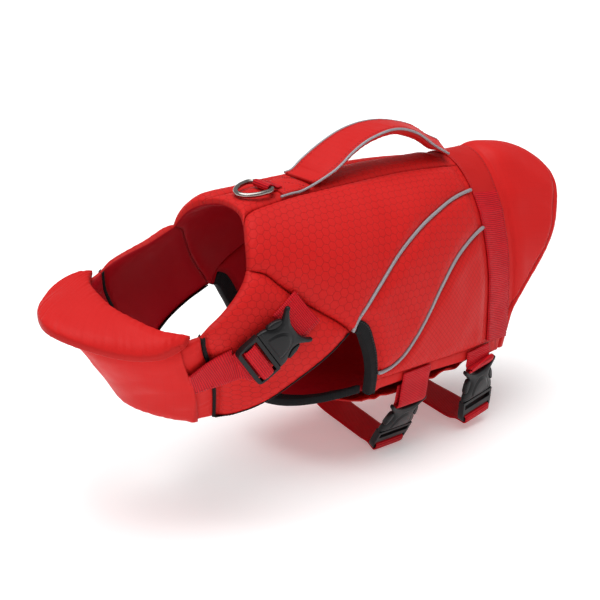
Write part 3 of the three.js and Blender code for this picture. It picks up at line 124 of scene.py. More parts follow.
BODY_COLUMNS = ("x", "crown", "wide", "wide_z", "square", "foot", "foot_z")
BODY = np.array([
    (-112, 248, 62, 180, 2.4, 62, 120),
    (-60, 248, 83, 160, 2.2, 84, 80),
    (-20, 248.5, 95, 145, 2.15, 92, 60),
    (30, 249, 97, 138, 2.1, 88, 58),
    (100, 249, 93, 130, 2.1, 84, 55),
    (160, 247, 82, 118, 2.0, 79, 50),
    (205, 246, 71, 105, 1.9, 71, 46),
    (240, 245, 65, 112, 1.9, 61, 46),
    (300, 229, 60, 125, 2.0, 56, 50),
    (350, 198, 54, 118, 2.0, 50, 50),
], float)

# Seams as (x, s).
NECK_EDGE = [(-88, 0), (-90, 17), (-97, 34), (-105, 50), (-112, 73)]
SPINE_SEAM = [(-97, 34), (-91, 27.5), (-80, 24), (-40, 24), (205, 24)]
SHOULDER_SEAM = [(-112, 73), (-98, 83), (-89, 96), (-69, 125), (-42, 157), (-31, 171)]
UPPER_PIPING = [(-31, 171), (-24, 160), (-5, 145.5), (22, 128), (52, 108.5), (83, 92),
                (117, 77), (152, 63), (184, 54.5), (205, 51)]
LOWER_PIPING = [(-2, 222), (17, 224), (35, 221), (51, 213), (66, 197), (82, 175), (99, 152),
                (127, 125), (157, 106), (181, 95), (205, 87)]
LEG_EDGE = [(-31, 171), (-21, 175), (-13, 190), (-6, 207), (-2, 222)]
TAIL_EDGE = [(334, 0), (328, 33), (314, 67), (299, 102), (279, 133), (254, 164), (236, 189),
             (228, 210), (221, 228)]

# Front of the jacket on the near side, as (x, y, z).
ARM_TOP = [(-120, -62, 205), (-134, -66, 195), (-152, -70, 186), (-168, -72, 178), (-178, -72, 170)]
ARM_LOW = [(-58, -94, 116), (-88, -87, 98), (-112, -76, 80), (-130, -62, 68), (-141, -50, 62)]
ARM_END = [(-178, -72, 170), (-175, -70, 153), (-164, -66, 128), (-153, -60, 100), (-141, -50, 62)]
CHEST_TOP = [(-180, -72, 168), (-204, -64, 160), (-230, -42, 155), (-242, -16, 153), (-243, 0, 153)]
CHEST_LOW = [(-143, -50, 62), (-162, -40, 60), (-179, -22, 62), (-186, -8, 64), (-187, 0, 64)]
FLAP_BACK = [(-188, -71, 173), (-203, -52, 172), (-211, -26, 172), (-215, 0, 172)]
FLAP_FRONT = [(-200, -78, 171), (-224, -75, 163), (-247, -60, 161), (-272, -32, 166),
              (-284, 0, 169)]
FLAP_DROOP = 0.02
CHEST_END_X = 0.6
CHEST_END_NARROW = 0.992

# Handle edges as (x, z).
HANDLE_HALF = 21.0
HANDLE_NEAR = [(0, 257), (9, 257.6), (31, 267), (50, 279.5), (70, 288), (103, 292.5),
               (130, 284.5), (157, 266), (176, 254.5)]
HANDLE_FAR = [(-2, 257), (6, 258), (20, 267), (41, 278), (66, 287.5), (90, 291.5), (113, 291),
              (134, 287), (161, 278), (182, 265), (200, 256)]

# %% [markdown]
# ## Curves and surfaces in numbers
# Blender can loft and bridge by hand, but a garment has many panels that share their seams.
# With the seam curves as functions, two neighbouring panels use the very same points, so they
# can't drift apart. numpy evaluates whole grids of points at once, which keeps this quick.

# %% Smooth columns, sections and the lean
def smoothstep(value, low, high):
    t = np.clip((np.asarray(value, float) - low) / (high - low), 0, 1)
    return t * t * (3 - 2 * t)


def smooth_table(xs, ys, x):
    """Value of a table at x, on a smooth curve through its entries."""
    x = np.asarray(x, float)
    last = len(xs) - 1
    low, high = np.maximum(np.arange(last + 1) - 1, 0), np.minimum(np.arange(last + 1) + 1, last)
    slopes = (ys[high] - ys[low]) / (xs[high] - xs[low])
    i = np.clip(np.searchsorted(xs, x, side="left") - 1, 0, last - 1)
    run = xs[i + 1] - xs[i]
    t = np.clip((x - xs[i]) / run, 0, 1)
    return ((2 * t**3 - 3 * t**2 + 1) * ys[i] + (t**3 - 2 * t**2 + t) * run * slopes[i]
            + (3 * t**2 - 2 * t**3) * ys[i + 1] + (t**3 - t**2) * run * slopes[i + 1])


def column(key, x):
    """Smooth value of a named column of BODY at x."""
    return smooth_table(BODY[:, 0], BODY[:, BODY_COLUMNS.index(key)], x)


ARCH_STEPS = 28
WALL_STEPS = 10


def half_sections(x):
    """Half sections at many x: arrays of y, z and the distance from the spine."""
    get = {key: column(key, x)[:, None] for key in BODY_COLUMNS[1:]}
    angle = (np.pi / 2) * np.linspace(0, 1, ARCH_STEPS + 1)[None, :]
    power = 2 / get["square"]
    y_arch = get["wide"] * np.sin(angle) ** power
    z_arch = get["wide_z"] + (get["crown"] - get["wide_z"]) * np.clip(np.cos(angle), 0, 1) ** power
    t = np.linspace(0, 1, WALL_STEPS + 1)[None, 1:]
    y_wall = get["wide"] + (get["foot"] - get["wide"]) * t * t
    z_wall = get["wide_z"] + (get["foot_z"] - get["wide_z"]) * t
    y = np.concatenate([y_arch, y_wall], axis=1)
    z = np.concatenate([z_arch, z_wall], axis=1)
    steps = np.hypot(np.diff(y, axis=1), np.diff(z, axis=1))
    s = np.concatenate([np.zeros((len(y), 1)), np.cumsum(steps, axis=1)], axis=1)
    return y, z, s


def foot_distance(x):
    return half_sections(np.atleast_1d(np.asarray(x, float)))[2][:, -1]


def on_body(x, s, offset=0.0):
    """Points of the body surface before the lean, and their normals.

    Negative s is the near side.
    """
    shape = np.broadcast(x, s, offset).shape
    x, s, offset = (np.broadcast_to(np.asarray(v, float), shape).ravel() for v in (x, s, offset))
    side = np.where(s < 0, -1.0, 1.0)
    y, z, dist = half_sections(x)
    rows = np.arange(len(x))
    i = np.clip((dist < np.abs(s)[:, None]).sum(axis=1) - 1, 0, dist.shape[1] - 2)
    t = (np.abs(s) - dist[rows, i]) / (dist[rows, i + 1] - dist[rows, i])
    low = np.maximum(np.arange(y.shape[1]) - 1, 0)
    high = np.minimum(np.arange(y.shape[1]) + 1, y.shape[1] - 1)
    ny, nz = -(z[:, high] - z[:, low]), y[:, high] - y[:, low]
    length = np.hypot(ny, nz)
    ny, nz = ny / length, nz / length
    ny[:, 0], nz[:, 0] = 0.0, 1.0
    c = np.clip(t, 0, 1)
    my = ny[rows, i] * (1 - c) + ny[rows, i + 1] * c
    mz = nz[rows, i] * (1 - c) + nz[rows, i + 1] * c
    length = np.hypot(my, mz)
    my, mz = my / length, mz / length
    py = y[rows, i] + (y[rows, i + 1] - y[rows, i]) * t
    pz = z[rows, i] + (z[rows, i + 1] - z[rows, i]) * t
    points = np.stack([x, side * (py + my * offset), pz + mz * offset], axis=1)
    normals = np.stack([np.zeros_like(x), side * my, mz], axis=1)
    return points.reshape(shape + (3,)), normals.reshape(shape + (3,))


def lean(points):
    """The lean of the finished jacket, which grows from the saddle to the neck."""
    points = np.asarray(points, float)
    x, y, z = points[..., 0], points[..., 1], points[..., 2]
    forward = smoothstep(-x, -LEAN["skew_start"], -LEAN["skew_end"])
    low = smoothstep(-z, -LEAN["skew_top"], -LEAN["skew_full"])
    turned = smoothstep(-x, -LEAN["roll_start"], -LEAN["roll_end"])
    angle = math.radians(LEAN["roll_degrees"]) * turned
    height = z - LEAN["roll_z"]
    return np.stack([
        x - LEAN["skew"] * forward * low * y,
        y * np.cos(angle) - height * np.sin(angle),
        LEAN["roll_z"] + y * np.sin(angle) + height * np.cos(angle),
    ], axis=-1)


print("body length along the foot", round(float(foot_distance(100.0)[0]), 1))

# %% Curves through points
def dense_curve(points, per_segment=60):
    """Centripetal Catmull-Rom curve, the kind that never loops between its points."""
    p = np.asarray(points, float)
    p = np.vstack([2 * p[0] - p[1], p, 2 * p[-1] - p[-2]])
    out = []
    for k in range(1, len(p) - 2):
        a, b, c, d = p[k - 1], p[k], p[k + 1], p[k + 2]
        d0, d1, d2 = (max(np.linalg.norm(v) ** 0.5, 1e-4) for v in (b - a, c - b, d - c))
        t1 = ((b - a) / d0 - (c - a) / (d0 + d1) + (c - b) / d1) * d1
        t2 = ((c - b) / d1 - (d - b) / (d1 + d2) + (d - c) / d2) * d1
        t = np.linspace(0, 1, per_segment, endpoint=False)[:, None]
        out.append(b + t1 * t + (-3 * b + 3 * c - 2 * t1 - t2) * t**2
                   + (2 * b - 2 * c + t1 + t2) * t**3)
    out.append(p[-2][None, :])
    return np.vstack(out)


def distances_along(line):
    """Distance of each point of a line from its start, along the line."""
    return np.concatenate([[0], np.cumsum(np.linalg.norm(np.diff(line, axis=0), axis=1))])


def line_length(line):
    return float(np.linalg.norm(np.diff(line, axis=0), axis=1).sum())


def length_shares(line):
    total = distances_along(line)
    return total / total[-1]


def unit_rows(vectors):
    """Vectors of length 1, for an array with a vector in each row."""
    return vectors / np.linalg.norm(vectors, axis=-1, keepdims=True)


def directions(line):
    """Direction of a line at each of its points."""
    return unit_rows(np.gradient(line, axis=0))


def at_shares(line, shares):
    where = length_shares(line)
    return np.stack([np.interp(shares, where, line[:, k]) for k in range(line.shape[1])], axis=1)


def sample(points, shares):
    """The smooth curve through the points, at the given shares of its length."""
    return at_shares(dense_curve(points), shares)


def even(count):
    return np.linspace(0, 1, count + 1)


def close_ends(count):
    t = even(count)
    return 0.5 * t + 0.5 * (0.5 - 0.5 * np.cos(np.pi * t))


def seam(table, side, shares):
    return sample([(x, side * s) for x, s in table], shares)


def coons(top, bottom, left, right):
    """Grid between four edge lines: top and bottom run the same way, left and right join them."""
    u = length_shares(top)[None, :, None]
    v = length_shares(left)[:, None, None]
    return (top[None] * (1 - v) + bottom[None] * v + left[:, None] * (1 - u) + right[:, None] * u
            - top[0] * (1 - u) * (1 - v) - top[-1] * u * (1 - v)
            - bottom[0] * (1 - u) * v - bottom[-1] * u * v)


def between(a, b, shares):
    return np.asarray(a)[None] * (1 - shares[:, None]) + np.asarray(b)[None] * shares[:, None]


def four_lines(top, bottom, shares):
    """Grid between two lines whose ends are joined by straight lines."""
    return coons(top, bottom, between(top[0], bottom[0], shares),
                 between(top[-1], bottom[-1], shares))


def inset(grid, distance):
    """Moves the border of a grid inwards, square to the border, so that neighbours stay apart."""
    moved = grid.copy()

    def push(line, inner):
        along = np.gradient(line, axis=0)
        along /= np.linalg.norm(along, axis=1, keepdims=True) + 1e-9
        step = inner - line
        step -= (step * along).sum(axis=1, keepdims=True) * along
        return distance * step / (np.linalg.norm(step, axis=1, keepdims=True) + 1e-9)

    moved[0] += push(grid[0], grid[1])
    moved[-1] += push(grid[-1], grid[-2])
    moved[:, 0] += push(grid[:, 0], grid[:, 1])
    moved[:, -1] += push(grid[:, -1], grid[:, -2])
    return moved


def border_distances(grid):
    """Distance of every grid point from the left, right, top and bottom border, along the grid."""
    in_rows = np.cumsum(np.linalg.norm(np.diff(grid, axis=1), axis=2), axis=1)
    in_columns = np.cumsum(np.linalg.norm(np.diff(grid, axis=0), axis=2), axis=0)
    across = np.concatenate([np.zeros((len(grid), 1)), in_rows], axis=1)
    down = np.concatenate([np.zeros((1, grid.shape[1])), in_columns], axis=0)
    return across, across[:, -1:] - across, down, down[-1:] - down


def nearest_border(grid):
    return np.minimum.reduce(border_distances(grid))


def puff(grid, margins, run=PUFF_RUN):
    """How far a padded panel has risen: 0 at its seams and 1 inside, on a round profile."""
    rise = 1.0
    for distance, margin in zip(border_distances(grid), margins):
        t = np.clip((distance - margin) / run, 0, 1)
        rise = rise * np.sqrt(1 - (1 - t) ** 2)
    return rise


def grid_normals(grid, outside):
    du, dv = np.gradient(grid, axis=1), np.gradient(grid, axis=0)
    n = np.cross(du, dv)
    n /= np.linalg.norm(n, axis=2, keepdims=True) + 1e-12
    flip = (n * outside).sum(axis=2, keepdims=True) < 0
    return np.where(flip, -n, n)


print("spine seam length", round(float(np.ptp([x for x, s in SPINE_SEAM])), 1), "mm")

# %% [markdown]
# ## Soft cloth
# Sewn padding is never flat. Along a seam the thread gathers the cloth into small puckers that
# fade towards the middle of the panel, and the middle carries a few long, shallow waves. Both
# are sums of sines with fixed phases, so that every run gives the same cloth.

# %% Puckers and waves
def waves(a, b, seed, size):
    """Smooth, repeatable waves over two coordinates in millimetres, about -1 to 1."""
    rng = np.random.default_rng(seed)
    total = 0
    for _ in range(7):
        angle, phase = rng.uniform(0, np.pi), rng.uniform(0, 2 * np.pi)
        pitch = size * rng.uniform(0.6, 1.7)
        total = total + np.sin((a * np.cos(angle) + b * np.sin(angle)) * 2 * np.pi / pitch + phase)
    return total / 3.2


def puckers(along, distance, seed, pitch=9.0, reach=9.0):
    """Small gathers that cross a seam and fade away from it."""
    rng = np.random.default_rng(seed)
    total = sum(np.sin(along * 2 * np.pi / (pitch * k) + rng.uniform(0, 6))
                for k in (0.7, 1.0, 1.6))
    return total / 3 * np.exp(-distance / reach) * np.clip(distance / 1.5, 0, 1)


def soften(grid, seed, pucker=0.55, wave=0.5, wave_size=70.0, strong=(1, 1, 1, 1)):
    """Height to add to a padded surface: puckers along its four seams, and waves inside."""
    left, right, top, bottom = border_distances(grid)
    inside = np.clip(np.minimum.reduce([left, right, top, bottom]) / 14, 0, 1)
    total = wave * waves(left, top, seed, wave_size) * inside
    for k, (distance, along) in enumerate(((left, top), (right, top), (top, left), (bottom, left))):
        total = total + pucker * strong[k] * puckers(along, distance, seed + k)
    return total


# %% Grids to closed meshes
def place(points):
    """Millimetres in the jacket's own measure to metres in the row frame."""
    return (np.asarray(points, float) - CARRY) / 1000.0


def new_object(name, vertices, faces, materials, face_material=None, uv=None):
    """Mesh object from points in metres. uv has one pair for each vertex.

    The CAD solid already has the plain name, so the finished piece gets a longer one.
    """
    name = f"{name}_finished"
    mesh = bpy.data.meshes.new(name)
    mesh.from_pydata([tuple(v) for v in vertices], [], faces)
    for material in materials:
        mesh.materials.append(material)
    if face_material is not None:
        mesh.polygons.foreach_set("material_index", np.asarray(face_material, np.int32))
    if uv is not None:
        layer = mesh.uv_layers.new(name="cloth")
        loops = np.zeros(len(mesh.loops), np.int32)
        mesh.loops.foreach_get("vertex_index", loops)
        layer.data.foreach_set("uv", np.asarray(uv, np.float32)[loops].ravel())
    mesh.polygons.foreach_set("use_smooth", np.ones(len(mesh.polygons), bool))
    mesh.update()
    obj = bpy.data.objects.new(name, mesh)
    bpy.context.scene.collection.objects.link(obj)
    return obj


def signed_volume(vertices, faces):
    total = 0.0
    for face in faces:
        a = vertices[face[0]]
        for k in range(1, len(face) - 1):
            total += np.dot(a, np.cross(vertices[face[k]], vertices[face[k + 1]]))
    return total


def facing_out(vertices, faces):
    """The faces of a closed mesh, turned over if they look inwards."""
    return [face[::-1] for face in faces] if signed_volume(vertices, faces) < 0 else faces


def closed_body(name, outer, inner, uv, outer_material, inner_material):
    """Closed body between an outer and an inner grid of points, in millimetres."""
    rows, cols = outer.shape[:2]
    k = np.arange(rows * cols).reshape(rows, cols)
    m = k + rows * cols

    def quads(a, b, c, d):
        return np.stack([a.ravel(), b.ravel(), c.ravel(), d.ravel()], axis=1)

    top = quads(k[:-1, :-1], k[:-1, 1:], k[1:, 1:], k[1:, :-1])
    under = quads(m[:-1, :-1], m[1:, :-1], m[1:, 1:], m[:-1, 1:])
    walls = np.concatenate([
        quads(k[0, 1:], k[0, :-1], m[0, :-1], m[0, 1:]),
        quads(k[-1, :-1], k[-1, 1:], m[-1, 1:], m[-1, :-1]),
        quads(k[:-1, 0], k[1:, 0], m[1:, 0], m[:-1, 0]),
        quads(k[1:, -1], k[:-1, -1], m[:-1, -1], m[1:, -1]),
    ])
    points = place(np.concatenate([outer.reshape(-1, 3), inner.reshape(-1, 3)]))
    faces = facing_out(points, np.concatenate([top, under, walls]).tolist())
    flat = np.asarray(uv, float).reshape(-1, 2) / 1000.0
    materials = [outer_material, inner_material]
    marks = [0] * len(top) + [1] * len(under) + [0] * len(walls)
    return new_object(name, points, faces, materials, marks, np.concatenate([flat, flat]))


made = {}


def finish_piece(obj, replaced):
    """Everything that the frame wants to know about a piece."""
    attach(obj, "root")
    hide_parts(*replaced)
    made[replaced[0]] = len(obj.data.polygons)


# %% [markdown]
# ## Finishes
# Each finish is a node tree made in code. A cloth pattern has to follow the cloth, so it reads the
# UV map of the piece, which is laid out in metres: one cell of the honeycomb is 8 mm wide wherever
# it lies. The painted shade in the seams reads an attribute that holds the distance from the
# nearest seam.

# %% Short names for shader nodes
def new_material(name, colour, roughness, metallic=0.0, sheen=0.0, specular=0.5):
    material = bpy.data.materials.new(name)
    material.use_nodes = True
    tree = material.node_tree
    shader = tree.nodes["Principled BSDF"]
    shader.inputs["Base Color"].default_value = (*colour, 1)
    shader.inputs["Roughness"].default_value = roughness
    shader.inputs["Metallic"].default_value = metallic
    shader.inputs["Specular IOR Level"].default_value = specular
    shader.inputs["Sheen Weight"].default_value = sheen
    shader.inputs["Sheen Roughness"].default_value = 0.45
    shader.inputs["Sheen Tint"].default_value = (1.0, 0.62, 0.58, 1)
    return material, tree, shader


def plug(tree, socket, value):
    if isinstance(value, bpy.types.NodeSocket):
        tree.links.new(value, socket)
    else:
        socket.default_value = value


def calc(tree, operation, *values):
    """One step of arithmetic in a material."""
    made_node = tree.nodes.new("ShaderNodeMath")
    made_node.operation = operation
    for k, value in enumerate(values):
        plug(tree, made_node.inputs[k], value)
    return made_node.outputs[0]


def vector(tree, operation, *values):
    """One step of vector arithmetic in a material."""
    made_node = tree.nodes.new("ShaderNodeVectorMath")
    made_node.operation = operation
    for k, value in enumerate(values):
        plug(tree, made_node.inputs[k], value)
    return made_node.outputs["Value" if operation == "DOT_PRODUCT" else "Vector"]


def ramp(tree, value, low, high, to_low=0.0, to_high=1.0):
    """Carries a value smoothly from one range to another."""
    made_node = tree.nodes.new("ShaderNodeMapRange")
    made_node.interpolation_type = "SMOOTHSTEP"
    for key, number in (("Value", value), ("From Min", low), ("From Max", high),
                        ("To Min", to_low), ("To Max", to_high)):
        plug(tree, made_node.inputs[key], number)
    return made_node.outputs["Result"]


def mix(tree, factor, a, b):
    """Mixes two colours."""
    made_node = tree.nodes.new("ShaderNodeMix")
    made_node.data_type = "RGBA"
    plug(tree, made_node.inputs[0], factor)
    plug(tree, made_node.inputs[6], a)
    plug(tree, made_node.inputs[7], b)
    return made_node.outputs[2]


def noise(tree, place_socket, scale, detail=2.0):
    made_node = tree.nodes.new("ShaderNodeTexNoise")
    plug(tree, made_node.inputs["Vector"], place_socket)
    made_node.inputs["Scale"].default_value = scale
    made_node.inputs["Detail"].default_value = detail
    return made_node.outputs["Fac"]


def bump(tree, shader, height, distance, strength=1.0):
    made_node = tree.nodes.new("ShaderNodeBump")
    made_node.inputs["Distance"].default_value = distance
    made_node.inputs["Strength"].default_value = strength
    tree.links.new(height, made_node.inputs["Height"])
    tree.links.new(made_node.outputs["Normal"], shader.inputs["Normal"])


def cloth_map(tree):
    return tree.nodes.new("ShaderNodeUVMap").outputs["UV"]


def object_place(tree):
    return tree.nodes.new("ShaderNodeTexCoord").outputs["Object"]


def seam_distance(tree):
    """Distance from the nearest seam in metres, as stored on the piece."""
    made_node = tree.nodes.new("ShaderNodeAttribute")
    made_node.attribute_name = "seam"
    return made_node.outputs["Fac"]


def shade(colour, factor):
    return tuple(min(1.0, c * factor) for c in colour)


# %% Patterns
HONEYCOMB_CELL = 0.0078
THREAD_PITCH = 0.0009
DIAMOND_PITCH, DIAMOND_LINE = 0.0064, 0.0009
PLAIN_PITCH, PLAIN_LINE = 0.0065, 0.00035
YARN_PITCH = 0.0016
CLOTH_RED = (0.60, 0.014, 0.013)
WEBBING_RED = (0.56, 0.006, 0.014)
# Painted shade: the lining is the same red cloth as the outside, made darker for the inside faces
# of the jacket.
SHADED_LINING_RED = (0.40, 0.003, 0.010)


def honeycomb(tree, uv, cell):
    """0 on the grooves of a honeycomb and 0.5 in the middle of each cell.

    Two rectangular lattices, shifted by half a step, hold all the middles. The nearer middle wins.
    """
    step, half = (1.0, math.sqrt(3), 1.0), (0.5, math.sqrt(3) / 2, 0.0)
    scaled = vector(tree, "ADD", vector(tree, "MULTIPLY", uv, (1 / cell, 1 / cell, 0)),
                    (200.0, 200 * math.sqrt(3), 0.0))
    first = vector(tree, "SUBTRACT", vector(tree, "MODULO", scaled, step), half)
    shifted = vector(tree, "SUBTRACT", scaled, half)
    second = vector(tree, "SUBTRACT", vector(tree, "MODULO", shifted, step), half)
    nearer = calc(tree, "LESS_THAN", vector(tree, "DOT_PRODUCT", first, first),
                  vector(tree, "DOT_PRODUCT", second, second))
    chosen = tree.nodes.new("ShaderNodeMix")
    chosen.data_type = "VECTOR"
    plug(tree, chosen.inputs[0], nearer)
    plug(tree, chosen.inputs[4], second)
    plug(tree, chosen.inputs[5], first)
    size = vector(tree, "ABSOLUTE", chosen.outputs[1])
    slanted = vector(tree, "DOT_PRODUCT", size, (0.5, math.sqrt(3) / 2, 0.0))
    split = tree.nodes.new("ShaderNodeSeparateXYZ")
    tree.links.new(size, split.inputs[0])
    return calc(tree, "SUBTRACT", 0.5, calc(tree, "MAXIMUM", slanted, split.outputs[0]))


def uv_parts(tree, uv):
    split = tree.nodes.new("ShaderNodeSeparateXYZ")
    tree.links.new(uv, split.inputs[0])
    return split.outputs[0], split.outputs[1]


def weave(tree, uv, pitch):
    """Plain weave: warp and weft that pass over each other."""
    u, v = uv_parts(tree, uv)
    a = calc(tree, "SINE", calc(tree, "MULTIPLY", u, 2 * math.pi / pitch))
    b = calc(tree, "SINE", calc(tree, "MULTIPLY", v, 2 * math.pi / pitch))
    return calc(tree, "MULTIPLY", a, b)


def lines(tree, value, pitch, width):
    """Thin raised lines at a pitch: 1 on a line and 0 between."""
    where = calc(tree, "PINGPONG", value, pitch / 2)
    return ramp(tree, where, 0.0, width, 1.0, 0.0)


def seam_shade_and_fade(tree, colour_socket, colour):
    """Painted shade in the seams, and a slight fade in soft patches."""
    seam_at = seam_distance(tree)
    patch = noise(tree, object_place(tree), 9.0, 3.0)
    # Painted shade: the cloth is darker in the seam valleys, set by the distance to the nearest
    # seam.
    painted_seam_shade = calc(tree, "MULTIPLY", ramp(tree, seam_at, 0.0, 0.0024, 1.0, 0.0), 0.3)
    shaded = mix(tree, painted_seam_shade, colour_socket, (*shade(colour, 0.35), 1))
    faded = calc(tree, "MULTIPLY", ramp(tree, patch, 0.42, 0.75), 0.16)
    return mix(tree, faded, shaded, (min(1, colour[0] * 1.22), colour[1] * 2.4, colour[2] * 2.2, 1))


def cloth(name, colour, pattern):
    """Coated nylon with its weave, and a pattern on top: honeycomb, ripstop or plain."""
    material, tree, shader = new_material(name, colour, 0.5, specular=0.11)
    uv = cloth_map(tree)
    threads = calc(tree, "MULTIPLY", weave(tree, uv, THREAD_PITCH), 0.12)
    base = (*colour, 1)
    if pattern == "honeycomb":
        distance = honeycomb(tree, uv, HONEYCOMB_CELL)
        cell = ramp(tree, distance, 0.0, 0.075)
        # Painted shade: the grooves of the honeycomb are darker than the cells.
        painted = mix(tree, cell, (*shade(colour, 0.72), 1), base)
        height = calc(tree, "ADD", cell, threads)
        bump(tree, shader, height, 0.00024, 0.8)
    elif pattern == "ripstop":
        u, v = uv_parts(tree, uv)
        rising = lines(tree, calc(tree, "ADD", u, v), DIAMOND_PITCH, DIAMOND_LINE)
        falling = lines(tree, calc(tree, "SUBTRACT", u, v), DIAMOND_PITCH, DIAMOND_LINE)
        grid = calc(tree, "MAXIMUM", rising, falling)
        painted = mix(tree, calc(tree, "MULTIPLY", grid, 0.5), base, (*shade(colour, 0.55), 1))
        height = calc(tree, "SUBTRACT", threads, calc(tree, "MULTIPLY", grid, 0.6))
        bump(tree, shader, height, 0.00022, 0.8)
    else:
        u, v = uv_parts(tree, uv)
        grid = calc(tree, "MAXIMUM", lines(tree, u, PLAIN_PITCH, PLAIN_LINE),
                    lines(tree, v, PLAIN_PITCH, PLAIN_LINE))
        painted = mix(tree, calc(tree, "MULTIPLY", grid, 0.14), base, (*shade(colour, 0.6), 1))
        height = calc(tree, "ADD", threads, calc(tree, "MULTIPLY", grid, 0.25))
        bump(tree, shader, height, 0.00016, 0.7)
    tree.links.new(seam_shade_and_fade(tree, painted, colour), shader.inputs["Base Color"])
    gloss = noise(tree, object_place(tree), 30.0, 3.0)
    tree.links.new(ramp(tree, gloss, 0.3, 0.7, 0.44, 0.58), shader.inputs["Roughness"])
    return material


def ribbed(name, colour, rib, roughness, sheen):
    """Woven webbing or tape: fine ribs across its length."""
    material, tree, shader = new_material(name, colour, roughness, sheen=sheen, specular=0.14)
    uv = cloth_map(tree)
    u, v = uv_parts(tree, uv)
    wave = calc(tree, "SINE", calc(tree, "MULTIPLY", u, 2 * math.pi / rib))
    squared = calc(tree, "MULTIPLY", wave, wave)
    ribs = calc(tree, "SUBTRACT", 1.0, calc(tree, "MULTIPLY", squared, 1.6))
    along = calc(tree, "SINE", calc(tree, "MULTIPLY", v, 2 * math.pi / YARN_PITCH))
    height = calc(tree, "ADD", calc(tree, "MULTIPLY", ribs, 0.5),
                  calc(tree, "MULTIPLY", along, 0.22))
    # Painted light and shade: the tops of the ribs are lighter and the hollows between them darker.
    light = ramp(tree, height, -0.3, 0.5)
    painted = mix(tree, light, (*shade(colour, 0.58), 1), (*shade(colour, 1.18), 1))
    fuzz = ramp(tree, noise(tree, object_place(tree), 60.0, 4.0), 0.4, 0.8, 0.0, 0.22)
    tree.links.new(mix(tree, fuzz, painted, (*shade(colour, 1.5), 1)), shader.inputs["Base Color"])
    bump(tree, shader, height, 0.00034, 0.9)
    return material


HONEYCOMB = cloth("honeycomb_cloth", CLOTH_RED, "honeycomb")
RIPSTOP = cloth("diamond_cloth", CLOTH_RED, "ripstop")
PLAIN = cloth("plain_cloth", CLOTH_RED, "plain")
# The lining finish is the plain cloth in a darker red: painted shade on the inside faces.
SHADED_LINING = cloth("lining_cloth_painted_shade", SHADED_LINING_RED, "plain")
WEBBING = ribbed("red_webbing", WEBBING_RED, 0.0040, 0.55, 0.01)
TAPE = ribbed("black_tape", (0.010, 0.010, 0.011), 0.0026, 0.7, 0.02)

# %% [markdown]
# The cord in the seams is a narrow grey reflective fabric round a core: bright, with a fine
# twisted texture. Buckle plastic is charcoal with a fine spark-eroded grain. The ring is steel
# with a dark nickel finish that is a little scratched.

# %% Cord, plastic, metal and thread
def reflective_cord():
    material, tree, shader = new_material("reflective_cord", (0.42, 0.41, 0.43), 0.38,
                                          metallic=0.25)
    u, v = uv_parts(tree, cloth_map(tree))
    diagonal = calc(tree, "ADD", u, v)
    twist = calc(tree, "SINE", calc(tree, "MULTIPLY", diagonal, 2 * math.pi / YARN_PITCH))
    # Painted light and shade: the ridges of the twist are lighter and its grooves darker.
    light = ramp(tree, twist, -0.7, 0.9)
    painted = mix(tree, light, (0.22, 0.21, 0.23, 1), (0.50, 0.49, 0.52, 1))
    tree.links.new(painted, shader.inputs["Base Color"])
    bump(tree, shader, twist, 0.00015, 0.6)
    return material


def buckle_plastic():
    material, tree, shader = new_material("charcoal_plastic", (0.010, 0.010, 0.011), 0.36,
                                          specular=0.24)
    place_socket = object_place(tree)
    grain = noise(tree, place_socket, 1400.0, 2.0)
    scuffs = noise(tree, place_socket, 70.0, 5.0)
    painted = mix(tree, ramp(tree, scuffs, 0.55, 0.8), (0.008, 0.008, 0.009, 1),
                  (0.018, 0.018, 0.020, 1))
    tree.links.new(painted, shader.inputs["Base Color"])
    tree.links.new(ramp(tree, scuffs, 0.35, 0.75, 0.30, 0.44), shader.inputs["Roughness"])
    bump(tree, shader, grain, 0.00006, 0.5)
    return material


def dark_nickel():
    material, tree, shader = new_material("dark_nickel", (0.34, 0.31, 0.29), 0.2, metallic=1.0)
    place_socket = object_place(tree)
    scratch = noise(tree, vector(tree, "MULTIPLY", place_socket, (900.0, 60.0, 900.0)), 1.0, 3.0)
    cloudy = noise(tree, place_socket, 45.0, 2.0)
    painted = mix(tree, ramp(tree, cloudy, 0.3, 0.8), (0.30, 0.27, 0.25, 1), (0.42, 0.39, 0.37, 1))
    tree.links.new(painted, shader.inputs["Base Color"])
    tree.links.new(ramp(tree, scratch, 0.3, 0.8, 0.14, 0.32), shader.inputs["Roughness"])
    bump(tree, shader, scratch, 0.00002, 0.4)
    return material


def sewing_thread(name, colour):
    material, tree, shader = new_material(name, colour, 0.6, sheen=0.1)
    place_socket = object_place(tree)
    fibre = noise(tree, place_socket, 2500.0, 2.0)
    painted = mix(tree, fibre, (*shade(colour, 0.6), 1), (*shade(colour, 1.3), 1))
    tree.links.new(painted, shader.inputs["Base Color"])
    bump(tree, shader, fibre, 0.00005, 0.6)
    return material


CORD = reflective_cord()
PLASTIC = buckle_plastic()
METAL = dark_nickel()
RED_THREAD = sewing_thread("red_thread", (0.42, 0.004, 0.010))
DARK_THREAD = sewing_thread("dark_thread", (0.02, 0.02, 0.022))
print("finishes:", len(bpy.data.materials))

# %% [markdown]
# ## Side panels
# Each side of the jacket is three foam panels between piped seams, with a boxed hem below. A
# panel starts as the flat patch between its four seams, laid on the body. The foam lifts its
# middle, and the lift is round near a seam, because cloth that is held by a seam turns over the
# edge of the foam. Where a strap or a tape is sewn on, the panel stays thin.

# %% Divisions and padded panels on the body
DIAGONAL = close_ends(56)
PIPED = close_ends(120)
UPPER_DEPTH = close_ends(56)
MIDDLE_DEPTH = close_ends(48)
LOWER_DEPTH = close_ends(44)
UNDER_STRAP = WEBBING_WIDTH / 2 + 9
UNDER_TAPE = TAPE_COVER + 6


def across(x, start, stop, shares):
    return np.stack([np.full(len(shares), float(x)), start + (stop - start) * shares], axis=1)


